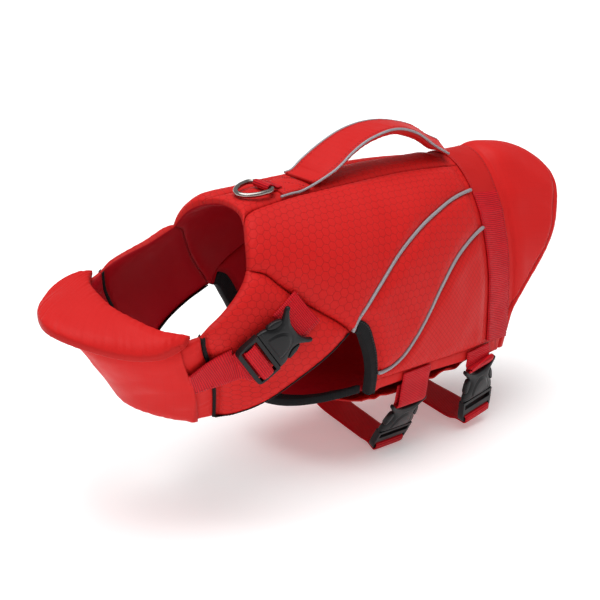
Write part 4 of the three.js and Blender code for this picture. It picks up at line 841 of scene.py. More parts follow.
def store_seam(obj, distance):
    """Keeps the distance from the nearest seam on the piece, in metres, for the painted shade in
    its seams.
    """
    layer = obj.data.attributes.new("seam", "FLOAT", "POINT")
    both = np.concatenate([distance.ravel(), distance.ravel()]) / 1000.0
    layer.data.foreach_set("value", both.astype(np.float32))


def edge_height(grid, margins, run=PUFF_RUN):
    """Half thickness along the border: thin in an open seam and full under a strap or tape."""
    weight = 0.0
    for distance, margin in zip(border_distances(grid), margins):
        if margin > 0:
            weight = np.maximum(weight, 1 - smoothstep(distance, margin * 0.9, margin + run * 0.5))
    return SEAM_EDGE + (EDGE - SEAM_EDGE) * weight


def body_panel(name, grid, margins, material, seed, height=FOAM_OUT, depth=FOAM_IN,
               pucker=0.55, wave=0.5):
    """Padded panel on the body, from a grid of (x, s)."""
    grid = inset(grid, SEAM_GAP / 2)
    rise = puff(grid, margins)
    rim = edge_height(grid, margins)
    soft = soften(grid, seed, pucker, wave)
    outer = rim + (height - rim) * rise + soft * (0.35 + 0.65 * rise)
    inner = rim + (depth - rim) * rise + soften(grid, seed + 50, 0.3, 0.4) * rise
    up, _ = on_body(grid[..., 0], grid[..., 1], outer)
    down, _ = on_body(grid[..., 0], grid[..., 1], -inner)
    obj = closed_body(name, lean(up), lean(down), grid, material, SHADED_LINING)
    store_seam(obj, nearest_border(grid))
    finish_piece(obj, [name])


def side_panels(side, word, seed):
    shoulder = seam(SHOULDER_SEAM, side, DIAGONAL)
    upper = seam(UPPER_PIPING, side, PIPED)
    lower = seam(LOWER_PIPING, side, PIPED)
    leg = seam(LEG_EDGE, side, MIDDLE_DEPTH)

    def hem_line(above):
        x = lower[0, 0] + (TAIL_SEAM_X - lower[0, 0]) * PIPED
        return np.stack([x, side * (foot_distance(x) - above)], axis=1)

    bottom = hem_line(HEM)
    lower_edge = across(bottom[0, 0], lower[0, 1], bottom[0, 1], LOWER_DEPTH)
    long_line = np.vstack([shoulder, upper[1:]])
    spine = seam(SPINE_SEAM, side, length_shares(long_line))
    neck = seam(NECK_EDGE[2:], side, UPPER_DEPTH)
    rear = [across(TAIL_SEAM_X, a[-1, 1], b[-1, 1], shares)
            for a, b, shares in ((spine, upper, UPPER_DEPTH), (upper, lower, MIDDLE_DEPTH),
                                 (lower, bottom, LOWER_DEPTH))]
    body_panel(f"side_upper_panel_{word}", coons(spine, long_line, neck, rear[0]),
               (0, UNDER_STRAP, 0, 0), HONEYCOMB, seed)
    body_panel(f"side_middle_panel_{word}", coons(upper, lower, leg, rear[1]),
               (UNDER_TAPE, UNDER_STRAP, 0, 0), HONEYCOMB, seed + 7)
    body_panel(f"side_lower_panel_{word}", coons(lower, bottom, lower_edge, rear[2]),
               (UNDER_TAPE, UNDER_STRAP, 2, 0), RIPSTOP, seed + 14)
    hem_top, hem_foot = hem_line(HEM), hem_line(0)
    depth = close_ends(18)
    body_panel(f"side_hem_{word}", four_lines(hem_top, hem_foot, depth),
               (UNDER_TAPE, UNDER_STRAP, 0, 0), PLAIN, seed + 21, HEM_OUT, HEM_IN,
               pucker=0.7, wave=0.2)
    legs = np.vstack([leg, lower_edge[1:], between(hem_top[0], hem_foot[0], depth)[1:]])
    return dict(shoulder=shoulder, upper=upper, lower=lower, leg=legs)


near_seams = side_panels(NEAR, "near", 11)
far_seams = side_panels(FAR, "far", 91)
print("side panels:", len(made), "pieces,", sum(made.values()), "faces")

# %% [markdown]
# ## Spine and tail panels
# The spine panel lies flat between the two upper panels. The tail panel is one wide piece behind
# the strap, whose free rim is turned in and sewn 8.5 mm from its edge, so the rim stands up as a
# soft roll with puckers.

# %% Spine panel and tail panel
def spine_panel():
    shares = close_ends(130)
    near, far = seam(SPINE_SEAM, NEAR, shares), seam(SPINE_SEAM, FAR, shares)
    near_edge = seam(NECK_EDGE[:3], NEAR, even(15))[::-1]
    far_edge = seam(NECK_EDGE[:3], FAR, even(15))
    neck = np.vstack([near_edge, far_edge[1:]])
    rear = across(TAIL_SEAM_X, near[-1, 1], far[-1, 1], even(30))
    body_panel("spine_panel", coons(near, far, neck, rear), (0, UNDER_STRAP, 0, 0), HONEYCOMB,
               301, SPINE_OUT, FOAM_IN, pucker=0.4, wave=0.3)


def tail_panel():
    shares = close_ends(200)
    depth = close_ends(72)
    foot = float(foot_distance(TAIL_SEAM_X)[0])
    front = across(TAIL_SEAM_X, -foot, foot, shares)
    near_half = [(x, -s) for x, s in TAIL_EDGE][::-1]
    rear = sample(near_half + TAIL_EDGE[1:], shares)
    grid = four_lines(front, rear, depth)
    grid = inset(grid, SEAM_GAP / 2)
    margins = (0, 0, UNDER_STRAP, 0)
    rise = puff(grid, margins)
    rim = edge_height(grid, margins)
    left, _, _, bottom = border_distances(grid)
    stitched = np.exp(-((bottom - TAIL_STITCH) / 2.2) ** 2)
    soft = soften(grid, 411, 0.5, 1.7, 62.0, (0.1, 0.1, 0.5, 0.5))
    fold = 0.3 * puckers(left, np.abs(bottom - TAIL_STITCH), 418, 15.0, 12.0)
    outer = rim + (TAIL_OUT - rim) * rise + soft * (0.3 + 0.7 * rise) + fold - 2.0 * stitched
    inner = rim + (TAIL_IN - rim) * rise - 1.2 * stitched + 0.5 * fold
    up, _ = on_body(grid[..., 0], grid[..., 1], outer)
    down, _ = on_body(grid[..., 0], grid[..., 1], -inner)
    obj = closed_body("tail_panel", lean(up), lean(down), grid, PLAIN, SHADED_LINING)
    store_seam(obj, np.minimum(nearest_border(grid), np.abs(bottom - TAIL_STITCH) + 0.8))
    finish_piece(obj, ["tail_panel"])
    return grid, outer


spine_panel()
tail_grid, tail_height = tail_panel()
print("tail panel:", made["tail_panel"], "faces")

# %% [markdown]
# ## Arms
# In front of the shoulder seam an arm panel runs down to the chest. It isn't on the body surface:
# it is a patch between four curves in space, and its own normals tell the foam which way to rise.

# %% Arm panels
def arc_map(grid):
    """Cloth coordinates of a grid in space: lengths along its rows and columns."""
    left, _, top, _ = border_distances(grid)
    return np.stack([left, top], axis=2)


def mirrored(points, side):
    return [(x, -side * y, z) for x, y, z in points]


def arm_surface(side, seams):
    rear, rear_normals = on_body(seams["shoulder"][:, 0], seams["shoulder"][:, 1])
    lengthwise = close_ends(100)
    top = sample([tuple(rear[0])] + mirrored(ARM_TOP, side), lengthwise)
    low = sample([tuple(rear[-1])] + mirrored(ARM_LOW, side), lengthwise)
    end = sample(mirrored(ARM_END, side), length_shares(rear))
    grid = inset(coons(top, low, rear, end), SEAM_GAP / 2)
    outside = np.stack([np.zeros(grid.shape[:2]), grid[..., 1], 0.3 * np.abs(grid[..., 1])], axis=2)
    normals = grid_normals(grid, outside)
    turn = smoothstep(np.linspace(0, 1, grid.shape[1]), 0, 0.4)[None, :, None]
    normals = rear_normals[:, None, :] * (1 - turn) + normals * turn
    return dict(grid=grid, normals=unit_rows(normals), shares=length_shares(rear),
                map=arc_map(grid))


def arm_panel(surface, word, seed):
    grid, normals = surface["grid"], surface["normals"]
    margins = (0, 5, 0, 0)
    rise = puff(grid, margins)
    soft = soften(grid, seed, 0.6, 0.8, 60.0, (0.8, 1.4, 0.8, 0.9))
    outer = SEAM_EDGE + (ARM_OUT - SEAM_EDGE) * rise + soft * (0.3 + 0.7 * rise)
    inner = SEAM_EDGE + (ARM_IN - SEAM_EDGE) * rise
    obj = closed_body(f"arm_panel_{word}", lean(grid + normals * outer[..., None]),
                      lean(grid - normals * inner[..., None]), surface["map"], HONEYCOMB, SHADED_LINING)
    store_seam(obj, nearest_border(grid))
    finish_piece(obj, [f"arm_panel_{word}"])


near_arm, far_arm = arm_surface(NEAR, near_seams), arm_surface(FAR, far_seams)
arm_panel(near_arm, "near", 501)
arm_panel(far_arm, "far", 541)

# %% [markdown]
# ## Chest and chin
# The chest pad closes the front ring from arm to arm, and its cover is a plain cloth sleeve with a
# fold at each end. The chin flap is a second pad on top, which holds the dog's chin above water.
# Both are soft and a little slack, so they carry longer waves than the side panels.

# %% Padded bands between lines in space
def whole_front(half, shares, droop=0.0):
    far = [(x, -y, z + droop * y) for x, y, z in half[-2::-1]]
    return sample(list(half) + far, shares)


def padded_band(grid, margins, outside, top, depth, edge, run, seed, pucker, wave, wave_size=60.0,
                strong=(1, 1, 1, 1)):
    """Outer and inner faces of a padded piece between four lines in space."""
    grid = inset(grid, SEAM_GAP / 2)
    normals = grid_normals(grid, outside(grid))
    rise = puff(grid, margins, run)
    soft = soften(grid, seed, pucker, wave, wave_size, strong)
    outer = edge + (top - edge) * rise + soft * (0.25 + 0.75 * rise)
    inner = edge + (depth - edge) * rise + soften(grid, seed + 3, pucker, wave, wave_size) * rise
    up = grid + normals * outer[..., None]
    down = grid - normals * inner[..., None]
    return grid, normals, up, down


def from_chest(grid):
    return np.stack([grid[..., 0] + 150, grid[..., 1], np.zeros(grid.shape[:2])], axis=2)


def straight_up(grid):
    return np.broadcast_to(np.array([0.0, 0.0, 1.0]), grid.shape)


COVER_SHORT = 17.0


def chest():
    shares = close_ends(170)
    top, low = whole_front(CHEST_TOP, shares), whole_front(CHEST_LOW, shares)

    def end(side):
        line = sample(mirrored(ARM_END, side), near_arm["shares"])
        return line * np.array([1, CHEST_END_NARROW, 1]) - np.array([CHEST_END_X, 0, 0])

    grid = coons(top, low, end(NEAR), end(FAR))
    base, normals, up, down = padded_band(
        grid, (0, 0, 0, 0), from_chest, CHEST_OUT, CHEST_IN, SEAM_EDGE, PUFF_RUN,
        601, 0.8, 0.9, 55.0, (1.5, 1.5, 0.8, 0.8))
    uv = arc_map(base)
    obj = closed_body("chest_pad", lean(up), lean(down), uv, PLAIN, SHADED_LINING)
    store_seam(obj, nearest_border(base))
    finish_piece(obj, ["chest_pad"])

    left, right, above, below = border_distances(base)
    middle = left[len(left) // 2]
    keep = slice(int(np.searchsorted(middle, COVER_SHORT)),
                 int(np.searchsorted(middle, middle[-1] - COVER_SHORT)))
    slack = 0.7 + 0.9 * waves(left, above, 631, 48.0)[:, keep].clip(0, None)
    ends = np.minimum(left, right)[:, keep] - COVER_SHORT
    fold = 1.5 * np.exp(-(ends / 3.0) ** 2)
    under = up[:, keep] + normals[:, keep] * 0.35
    over = under + normals[:, keep] * (0.9 + slack + fold)[..., None]
    cover = closed_body("chest_cover", lean(over), lean(under), uv[:, keep], PLAIN, PLAIN)
    store_seam(cover, np.minimum(np.minimum(above, below)[:, keep], ends + 0.5).clip(0, None))
    finish_piece(cover, ["chest_cover"])
    print("chest cover", round(np.ptp(middle[keep])), "x", round(above.max()), "mm")


chest()


def chin_flap():
    shares, depth = close_ends(190), close_ends(70)
    back, front = whole_front(FLAP_BACK, shares), whole_front(FLAP_FRONT, shares, FLAP_DROOP)
    grid = four_lines(back, front, depth)
    base, _, up, down = padded_band(
        grid, (0, 0, 0, 0), straight_up, CHIN_OUT, CHIN_IN, SEAM_EDGE, PUFF_RUN,
        651, 1.0, 1.1, 70.0, (1.2, 1.2, 1.1, 1.4))
    obj = closed_body("chin_flap", lean(up), lean(down), arc_map(base), PLAIN, PLAIN)
    store_seam(obj, nearest_border(base))
    finish_piece(obj, ["chin_flap"])


chin_flap()
print("chest and chin:", made["chest_pad"] + made["chest_cover"] + made["chin_flap"], "faces")

# %% [markdown]
# ## Belly
# A thin padded sling closes the body below, and a loose flap with a gathered edge hangs under it.

# %% Belly sling and flap
BELLY_FRONT, BELLY_CORNER, BELLY_REAR = -50.0, -2.0, 190.0
BELLY_SAG, BELLY_RISE, BELLY_EDGE_IN, BELLY_HALF = 25.0, 4.0, 5.2, 2.5
FLAP_START, FLAP_LENGTH, FLAP_EDGE_IN, FLAP_HALF = 2.0, 182.0, 7.0, 1.0


def belly_edge(x):
    return column("foot", np.maximum(x, BELLY_CORNER)) - BELLY_EDGE_IN


def belly_points(x, y, lift):
    share = y / belly_edge(x)
    z = (column("foot_z", np.maximum(x, BELLY_CORNER)) + BELLY_RISE
         - BELLY_SAG * (1 - share**2) + lift)
    return np.stack([x, y, z], axis=-1)


def belly_front_x(share):
    return BELLY_FRONT + (BELLY_CORNER - BELLY_FRONT) * np.abs(share) ** 2.4


def belly():
    share = (close_ends(90) * 2 - 1)[:, None]
    t = close_ends(90)[None, :]
    x = belly_front_x(share) + (BELLY_REAR - belly_front_x(share)) * t
    y = share * belly_edge(x)
    flat = np.stack([x, y], axis=2)
    soft = 0.8 * waves(x, y, 701, 52.0)
    obj = closed_body("belly_panel", lean(belly_points(x, y, BELLY_HALF + soft)),
                      lean(belly_points(x, y, -BELLY_HALF + soft)), flat, SHADED_LINING, PLAIN)
    store_seam(obj, nearest_border(flat))
    finish_piece(obj, ["belly_panel"])

    share, t = (close_ends(80) * 2 - 1)[:, None], even(220)[None, :]
    x = FLAP_START + FLAP_LENGTH * t + 0 * share
    y = share * (column("foot", x) - FLAP_EDGE_IN)
    ripple = 1.1 * np.sin(2 * np.pi * x / 31) + 0.4 * np.sin(2 * np.pi * x / 17.3 + 1)
    gather = ripple * np.abs(share) ** 6
    sag = 12 * np.sin(np.pi * (0.15 + 0.85 * t)) + 1.2 * waves(x, y, 702, 45.0)
    drop = 1.4 + sag + 5 * share**4 * (1 - t)
    lift = -BELLY_HALF - drop + gather
    flat = np.stack([x, y], axis=2)
    obj = closed_body("belly_flap", lean(belly_points(x, y, lift + FLAP_HALF)),
                      lean(belly_points(x, y, lift - FLAP_HALF)), flat, PLAIN, PLAIN)
    store_seam(obj, nearest_border(flat))
    finish_piece(obj, ["belly_flap"])


belly()

# %% [markdown]
# ## Binding tape
# Black tape is folded over the raw edges of the leg opening, the arm and the belly sling. Its
# section is an open U. Sweeping that U along the edge gives an outer and an inner face, so the
# tape is the same kind of closed body as a panel, and it is a little uneven where it was sewn.

# %% Tape folded over an edge
def tape_section(cover, half, lift):
    """Outer and inner lines of a folded tape: distance from the edge, and height."""
    near, far = half + SEAM_GAP, half + SEAM_GAP + TAPE_WALL
    flat = np.linspace(1, 0, 9)
    angle = np.linspace(np.pi / 2, -np.pi / 2, 11)[1:-1]

    def line(height, out, rise):
        upper = [(cover * t, height + rise * t**0.6) for t in flat]
        turn = [(-out * math.cos(a), height * math.sin(a)) for a in angle]
        lower = [(cover * t, -height - rise * t**0.6) for t in flat[::-1]]
        return np.array(upper + turn + lower)

    return line(far, SEAM_GAP + TAPE_WALL, lift), line(near, SEAM_GAP, lift)


def folded_tape(name, put, count, length, cover, half, lift, seed):
    """put(k, d, h) gives the points of all stations at distances d and heights h."""
    outer_line, inner_line = tape_section(cover, half, lift)
    stations = np.arange(count)[:, None]
    along = np.linspace(0, length, count)[:, None]
    ripple = 0.16 * np.sin(along * 2 * np.pi / 3.1) + 0.22 * waves(along, 0 * along, seed, 17.0)
    sign = np.sign(outer_line[:, 1])[None, :]
    wall = np.clip(outer_line[:, 0] / cover, 0, 1)[None, :] ** 0.5
    outer = put(stations, outer_line[None, :, 0], outer_line[None, :, 1] + sign * wall * ripple)
    inner = put(stations, inner_line[None, :, 0], inner_line[None, :, 1] + sign * wall * ripple)
    width = distances_along(outer_line)
    uv = np.stack([along + 0 * width[None], width[None] + 0 * along], axis=2)
    obj = closed_body(name, outer, inner, uv, TAPE, TAPE)
    finish_piece(obj, [name])


stitch_lines = {"red": [], "dark": []}


def remember_stitches(colour, points):
    """Keeps a line of points, in millimetres, that gets its stitches at the end."""
    stitch_lines[colour].append(place(points))


def resampled(line, start, stop, step):
    """A line of any dimension between two distances along it, at an even step."""
    total = line_length(line)
    shares = np.linspace(start / total, stop / total, max(4, int((stop - start) / step)))
    return at_shares(line, shares)


def leg_tape(seams, word, seed):
    line = resampled(seams["leg"], 5.5, line_length(seams["leg"]) - 0.4, 1.2)
    along = directions(line)
    inward = np.stack([np.abs(along[:, 1]), -along[:, 0] * np.sign(along[:, 1])], axis=1)

    def put(k, d, h):
        x = line[k, 0] + inward[k, 0] * d
        s = line[k, 1] + inward[k, 1] * d
        points, _ = on_body(x, s, h + 0 * x)
        return lean(points)

    folded_tape(f"leg_tape_{word}", put, len(line), line_length(line), TAPE_COVER, EDGE, 0.0, seed)
    every = np.arange(len(line))[:, None]
    row = put(every, np.array([[TAPE_COVER - 2.0]]),
              np.array([[EDGE + SEAM_GAP + TAPE_WALL + 0.25]]))
    remember_stitches("dark", row[:, 0])


def arm_tapes(surface, word, seed):
    grid, normals = surface["grid"], surface["normals"]

    def tape(name, line, inner_line, up, cover, half, lift):
        inward = unit_rows(inner_line - line)

        def put(k, d, h):
            k = k[:, 0]
            return lean(line[k][:, None] + inward[k][:, None] * np.asarray(d)[..., None]
                        + up[k][:, None] * np.asarray(h)[..., None])

        folded_tape(name, put, len(line), line_length(line), cover, half, lift, seed)

    tape(f"arm_end_tape_{word}", grid[:, -1], grid[:, -5], normals[:, -1], 2.2, 1.8, 0.3)
    tape(f"arm_low_tape_{word}", grid[-1, 4:-3], grid[-5, 4:-3], normals[-1, 4:-3], 3.2, 1.8, 3.4)


def belly_tape():
    share = np.linspace(-0.985, 0.985, 150)
    x = belly_front_x(share)
    line = np.stack([x, share * belly_edge(x)], axis=1)
    along = directions(line)

    def put(k, d, h):
        px = line[k, 0] + along[k, 1] * d
        py = line[k, 1] - along[k, 0] * d
        return lean(belly_points(px, py, h))

    folded_tape("belly_front_tape", put, len(line), line_length(line), TAPE_COVER, BELLY_HALF,
                0.9, 741)


leg_tape(near_seams, "near", 721)
leg_tape(far_seams, "far", 722)
arm_tapes(near_arm, "near", 731)
arm_tapes(far_arm, "far", 735)
belly_tape()
print("tapes:", [name for name in made if "tape" in name])

# %% [markdown]
# ## Cords in the seams
# A piping is a cord in a sleeve of reflective fabric. Its ring of points is carried along the seam
# with the least twist, so the diagonal weave on it doesn't turn.

# %% Round cords
def cord(name, line, radius, sides=12):
    up = np.array([0.0, 0.0, 1.0])
    angles = np.linspace(0, 2 * np.pi, sides, endpoint=False)
    rings = []
    for point, tangent in zip(line, directions(line)):
        right = np.cross(tangent, up)
        right /= np.linalg.norm(right)
        up = np.cross(right, tangent)
        rings.append(point + radius * (np.cos(angles)[:, None] * right
                                       + np.sin(angles)[:, None] * up))
    vertices = np.concatenate(rings + [line[:1], line[-1:]])
    first, last = len(line) * sides, len(line) * sides + 1
    faces = []
    for k in range(len(line) - 1):
        for i in range(sides):
            a, b = k * sides + i, k * sides + (i + 1) % sides
            faces.append((a, b, b + sides, a + sides))
    for i in range(sides):
        j = (i + 1) % sides
        faces.append((j, i, first))
        faces.append(((len(line) - 1) * sides + i, (len(line) - 1) * sides + j, last))
    metres = place(vertices)
    along = distances_along(line)
    uv = [(distance / 1000, radius * a / 1000) for distance in along for a in angles]
    uv += [(0, 0), (along[-1] / 1000, 0)]
    obj = new_object(name, metres, facing_out(metres, faces), [CORD], None, uv)
    finish_piece(obj, [name])


def body_piping(name, line, start):
    stop = TAIL_SEAM_X - WEBBING_WIDTH / 2 - 1.0
    kept = line[line[:, 0] < stop]
    kept = resampled(kept, start, line_length(kept), 2.2)
    points, _ = on_body(kept[:, 0], kept[:, 1], SEAM_EDGE + PIPING_RADIUS + 2.0)
    cord(name, lean(points), PIPING_RADIUS)


for which, start in (("upper", 0.5), ("lower", 12.5)):
    body_piping(f"{which}_piping_near", near_seams[which], start)
    body_piping(f"{which}_piping_far", far_seams[which], start)

# %% [markdown]
# ## Webbing
# Straps are flat, so they are modelled directly: a middle line, a direction across and a normal
# at each station. A strap is a little thinner at its woven edges.

# %% Straps
def woven_edge(share):
    """Thickness of webbing across its width, as a factor: a little less at its edges."""
    return 1 - 0.4 * np.abs(2 * share) ** 10


def strap_body(name, centre, side, normal, width, thickness):
    """Strap from its middle line. side and normal have one unit vector for each station."""
    share = np.linspace(-0.5, 0.5, 15)
    half = thickness / 2 * woven_edge(share)
    middle = centre[:, None] + side[:, None] * (width * share)[None, :, None]
    outer = middle + normal[:, None] * half[None, :, None]
    inner = middle - normal[:, None] * half[None, :, None]
    along = distances_along(centre)
    uv = np.stack([along[:, None] + 0 * share, width * share[None] + 0 * along[:, None]], axis=2)
    obj = closed_body(name, outer, inner, uv, WEBBING, WEBBING)
    finish_piece(obj, [name])


def stations_of(points, side_of):
    """Side and normal at each point of a strap, square to its run."""
    tangent = directions(points)
    side = np.array([side_of(k) for k in range(len(points))], float)
    side = unit_rows(side - (side * tangent).sum(axis=1, keepdims=True) * tangent)
    return side, np.cross(side, tangent)


SEWN = -0.7
STITCH_SHARE = 0.44
WEB_LIFT = 0.8
STRAP_CLOTH_S = 58.0


def tail_strap():
    foot = float(foot_distance(TAIL_SEAM_X)[0]) - HEM - 1
    s = np.linspace(-foot, foot, 320)
    x = TAIL_SEAM_X + WEBBING_WIDTH * np.linspace(-0.5, 0.5, 21)
    limit = np.minimum(np.abs(s)[:, None], foot_distance(x)[None, :]) * np.sign(s)[:, None]
    webbed = smoothstep(np.abs(s), STRAP_CLOTH_S, STRAP_CLOTH_S + 2.5)[:, None]
    edge = 1 - 0.5 * np.abs(np.linspace(-1, 1, 21))[None] ** 10
    crease = 0.9 * np.exp(-((np.abs(s) - 78) / 3.0) ** 2)[:, None]
    soft = 0.35 * waves(s[:, None] + 0 * x, x[None] + 0 * s[:, None], 801, 26.0)
    base = EDGE + WEB_LIFT
    outer_offset = base + (1.2 + 1.1 * webbed) * edge + crease + soft
    xs = x[None] + 0 * s[:, None]
    outer, normals = on_body(xs, limit, outer_offset)
    inner, _ = on_body(xs, limit, base + np.minimum(soft, 0))
    uv = np.stack([s[:, None] + 0 * x, x[None] - TAIL_SEAM_X + 0 * s[:, None]], axis=2)
    obj = closed_body("tail_strap", lean(outer), lean(inner), uv, WEBBING, WEBBING)
    obj.data.materials.append(PLAIN)
    cloth_index = len(obj.data.materials) - 1
    columns = len(x) - 1
    for j in np.nonzero(np.abs(s[:-1]) < STRAP_CLOTH_S)[0]:
        for i in range(columns):
            obj.data.polygons[j * columns + i].material_index = cloth_index
    finish_piece(obj, ["tail_strap"])
    for column_at in (1, -2):
        remember_stitches("red", lean(outer[:, column_at] + normals[:, column_at] * 0.15))


tail_strap()

# %% [markdown]
# ## Handle
# The handle is a padded sleeve that stands up from the spine and is sewn down at both ends, with a
# cord in each edge. In front of it lies a square patch, which also holds the tab of the ring.

# %% Handle, patch, ring and tab
def handle():
    shares = close_ends(170)
    near = sample([(x, -HANDLE_HALF, z) for x, z in HANDLE_NEAR], shares)
    far = sample([(x, HANDLE_HALF, z) for x, z in HANDLE_FAR], shares)
    width = close_ends(44)
    grid = four_lines(near, far, width)
    base, normals, up, down = padded_band(
        grid, (16, 16, 0, 0), straight_up, HANDLE_OUT, HANDLE_IN, HANDLE_EDGE, HANDLE_RUN,
        821, 0.7, 0.5, 45.0, (0.4, 0.4, 1.2, 1.2))
    obj = closed_body("handle", lean(up), lean(down), arc_map(base), PLAIN, PLAIN)
    store_seam(obj, nearest_border(base))
    finish_piece(obj, ["handle"])

    def edge_cord(name, row, side):
        line = base[row] + normals[row] * 1.0
        line[:, 1] = base[row][:, 1] + side * 1.3
        line = resampled(line, 0.0, line_length(line), 2.0)
        if side == NEAR:
            lead, _ = on_body(np.linspace(-42, -16, 13), np.full(13, -HANDLE_HALF - 1.6), 6.8)
            line = np.vstack([lead, line[7:]])
            line = sample(line[::6], np.linspace(0, 1, 130))
        cord(name, lean(line), HANDLE_PIPING_RADIUS)

    edge_cord("handle_piping_near", 0, NEAR)
    edge_cord("handle_piping_far", -1, FAR)
    for row in (5, -6):
        remember_stitches("red", lean(up[row] + normals[row] * 0.15))


handle()

PATCH_START, PATCH_END, PATCH_HALF, PATCH_THICKNESS = -37.0, -4.0, 21.0, 1.8
PATCH_ROWS = (2.2, 5.2)


def patch_points(x, s, offset):
    points, _ = on_body(x, s, SPINE_OUT + SEAM_GAP + offset)
    return lean(points)


def handle_patch():
    x = (PATCH_START + (PATCH_END - PATCH_START) * close_ends(40))[:, None]
    s = (PATCH_HALF * (2 * close_ends(48) - 1))[None, :]
    grid = np.stack([x + 0 * s, s + 0 * x], axis=2)
    edge = nearest_border(grid)
    sewn = (0.55 * np.exp(-((edge - PATCH_ROWS[0]) / 0.9) ** 2)
            + 0.45 * np.exp(-((edge - PATCH_ROWS[1]) / 0.9) ** 2))
    top = (PATCH_THICKNESS * np.sqrt(np.clip(edge / 1.2, 0.04, 1))
           + 0.5 * smoothstep(edge, 6, 10) - sewn)
    soft = 0.25 * waves(grid[..., 0], grid[..., 1], 841, 14)
    outer = patch_points(grid[..., 0], grid[..., 1], top + soft)
    inner = patch_points(grid[..., 0], grid[..., 1], 0 * top)
    obj = closed_body("handle_patch", outer, inner, grid, PLAIN, PLAIN)
    store_seam(obj, edge)
    finish_piece(obj, ["handle_patch"])
    for row in PATCH_ROWS:
        a, b, c = PATCH_START + row, PATCH_END - row, PATCH_HALF - row
        corners = [(a, -c), (b, -c), (b, c), (a, c), (a, -c)]
        for start, stop in zip(corners, corners[1:]):
            patch_stitches(start, stop, PATCH_THICKNESS - 0.35)
    patch_stitches((a, -c), (b, c), PATCH_THICKNESS + 0.35)
    patch_stitches((a, c), (b, -c), PATCH_THICKNESS + 0.35)


def patch_stitches(start, stop, height):
    t = np.linspace(0, 1, 24)
    x = start[0] + (stop[0] - start[0]) * t
    s = start[1] + (stop[1] - start[1]) * t
    remember_stitches("red", patch_points(x, s, height + 0 * t))


handle_patch()

RING_BAR_X, RING_BAR_Z, RING_HALF_BAR, RING_SIDE, RING_DEPTH = -46.0, 258.8, 15.0, 18.0, 29.0
RING_FRONT_Z, RING_WIRE = 257.6, 2.45
TAB_WIDTH, TAB_THICKNESS, TAB_BEND, TAB_STITCHED = 24.0, 1.5, 3.15, 9.5


def metal_ring(name, line, radius, sides=20):
    """Closed loop of round wire. The last point of the line joins the first."""
    count = len(line)
    tangent = unit_rows(np.roll(line, -1, axis=0) - np.roll(line, 1, axis=0))
    out = line - line.mean(axis=0)
    out = unit_rows(out - (out * tangent).sum(axis=1, keepdims=True) * tangent)
    up = np.cross(tangent, out)
    angle = np.linspace(0, 2 * np.pi, sides, endpoint=False)
    rings = line[:, None] + radius * (out[:, None] * np.cos(angle)[None, :, None]
                                      + up[:, None] * np.sin(angle)[None, :, None])
    faces = []
    for k in range(count):
        for i in range(sides):
            after, beside = ((k + 1) % count) * sides, (i + 1) % sides
            faces.append((k * sides + i, k * sides + beside, after + beside, after + i))
    vertices = place(rings.reshape(-1, 3))
    obj = new_object(name, vertices, facing_out(vertices, faces), [METAL])
    finish_piece(obj, [name])


def ring_and_tab():
    points = [(RING_BAR_X, RING_HALF_BAR * (2 * t - 1), RING_BAR_Z) for t in even(6)]
    for t in even(18):
        angle = math.pi * (0.03 + 0.94 * t)
        out = math.sin(angle)
        points.append((RING_BAR_X - 3 - RING_DEPTH * out, RING_SIDE * math.cos(angle),
                       RING_BAR_Z + (RING_FRONT_Z - RING_BAR_Z) * out))
    per = 8
    dense = dense_curve(points[-3:] + points + points[:3], per)
    loop = dense[3 * per:(3 + len(points)) * per]
    metal_ring("ring", lean(loop), RING_WIRE)

    below = RING_BAR_Z - TAB_BEND
    path = [(PATCH_START - 0.5, below), (RING_BAR_X + 3, below)]
    for t in even(8):
        angle = math.pi * (-0.5 - t)
        path.append((RING_BAR_X + TAB_BEND * math.cos(angle),
                     RING_BAR_Z + TAB_BEND * math.sin(angle)))
    path += [(RING_BAR_X + 4.5, RING_BAR_Z + 1.8), (PATCH_START - 0.5, RING_BAR_Z - 0.9),
             (PATCH_START + 6, RING_BAR_Z - 1.4)]
    line = sample([(x, 0.0, z) for x, z in path], even(90))
    side = np.broadcast_to(np.array([0.0, 1.0, 0.0]), line.shape)
    normal = np.cross(side, directions(line))
    strap_body("ring_tab", lean(line), side, normal, TAB_WIDTH, TAB_THICKNESS)
    y = np.linspace(-TAB_STITCHED, TAB_STITCHED, 20)
    for behind, above in ((5.5, 2.1), (7.6, 1.8)):
        points = np.stack([RING_BAR_X + behind + 0 * y, y, RING_BAR_Z + above + 0 * y], axis=1)
        remember_stitches("red", lean(points))


ring_and_tab()
print("handle, patch, ring and tab made")

# %% [markdown]
# ## Side-release buckles
# All four buckles are the same moulding: a socket with two side windows, the two curved ends of the
# plug's arms that are pressed to open it, and the plug's frame with two bars for the webbing. They
# are drawn in the buckle's own measure, a along it, w across it and n out of it, and then placed.

# %% Buckle shapes
BUCKLE_LENGTH, SOCKET_END, WAIST, HALF_FRAME, BUCKLE_THICKNESS = 66.0, 40.0, 9.0, 23.0, 7.0
MOUTH_LINE, WINDOW_MIDDLE, BUTTON_MIDDLE, BUTTON_HALF = 36.4, 21.5, 21.0, 8.0
SOCKET_X = np.array([0, 4, 8, 12, 16, 22, 27, 31, 36, 40], float)
SOCKET_HALF = np.array([25, 24, 20.5, 17.4, 16, 16.4, 19, 21.6, 22.8, 23], float)
SLOTS = ((44.0, 50.0), (56.5, 62.0))
SLOT_HALF = 20.2
HORN_TIP_C, HORN_ROUND = 0.9, 2.6


def socket_half(a):
    """Half width of the socket, smooth through its table."""
    return smooth_table(SOCKET_X, SOCKET_HALF, a)


def unit(v):
    v = np.asarray(v, float)
    return v / np.linalg.norm(v)


def frame_between(start, stop, outward):
    axis = unit(stop - start)
    normal = unit(outward - np.dot(outward, axis) * axis)
    return dict(origin=np.asarray(start, float), axis=axis, normal=normal,
                width=np.cross(normal, axis))


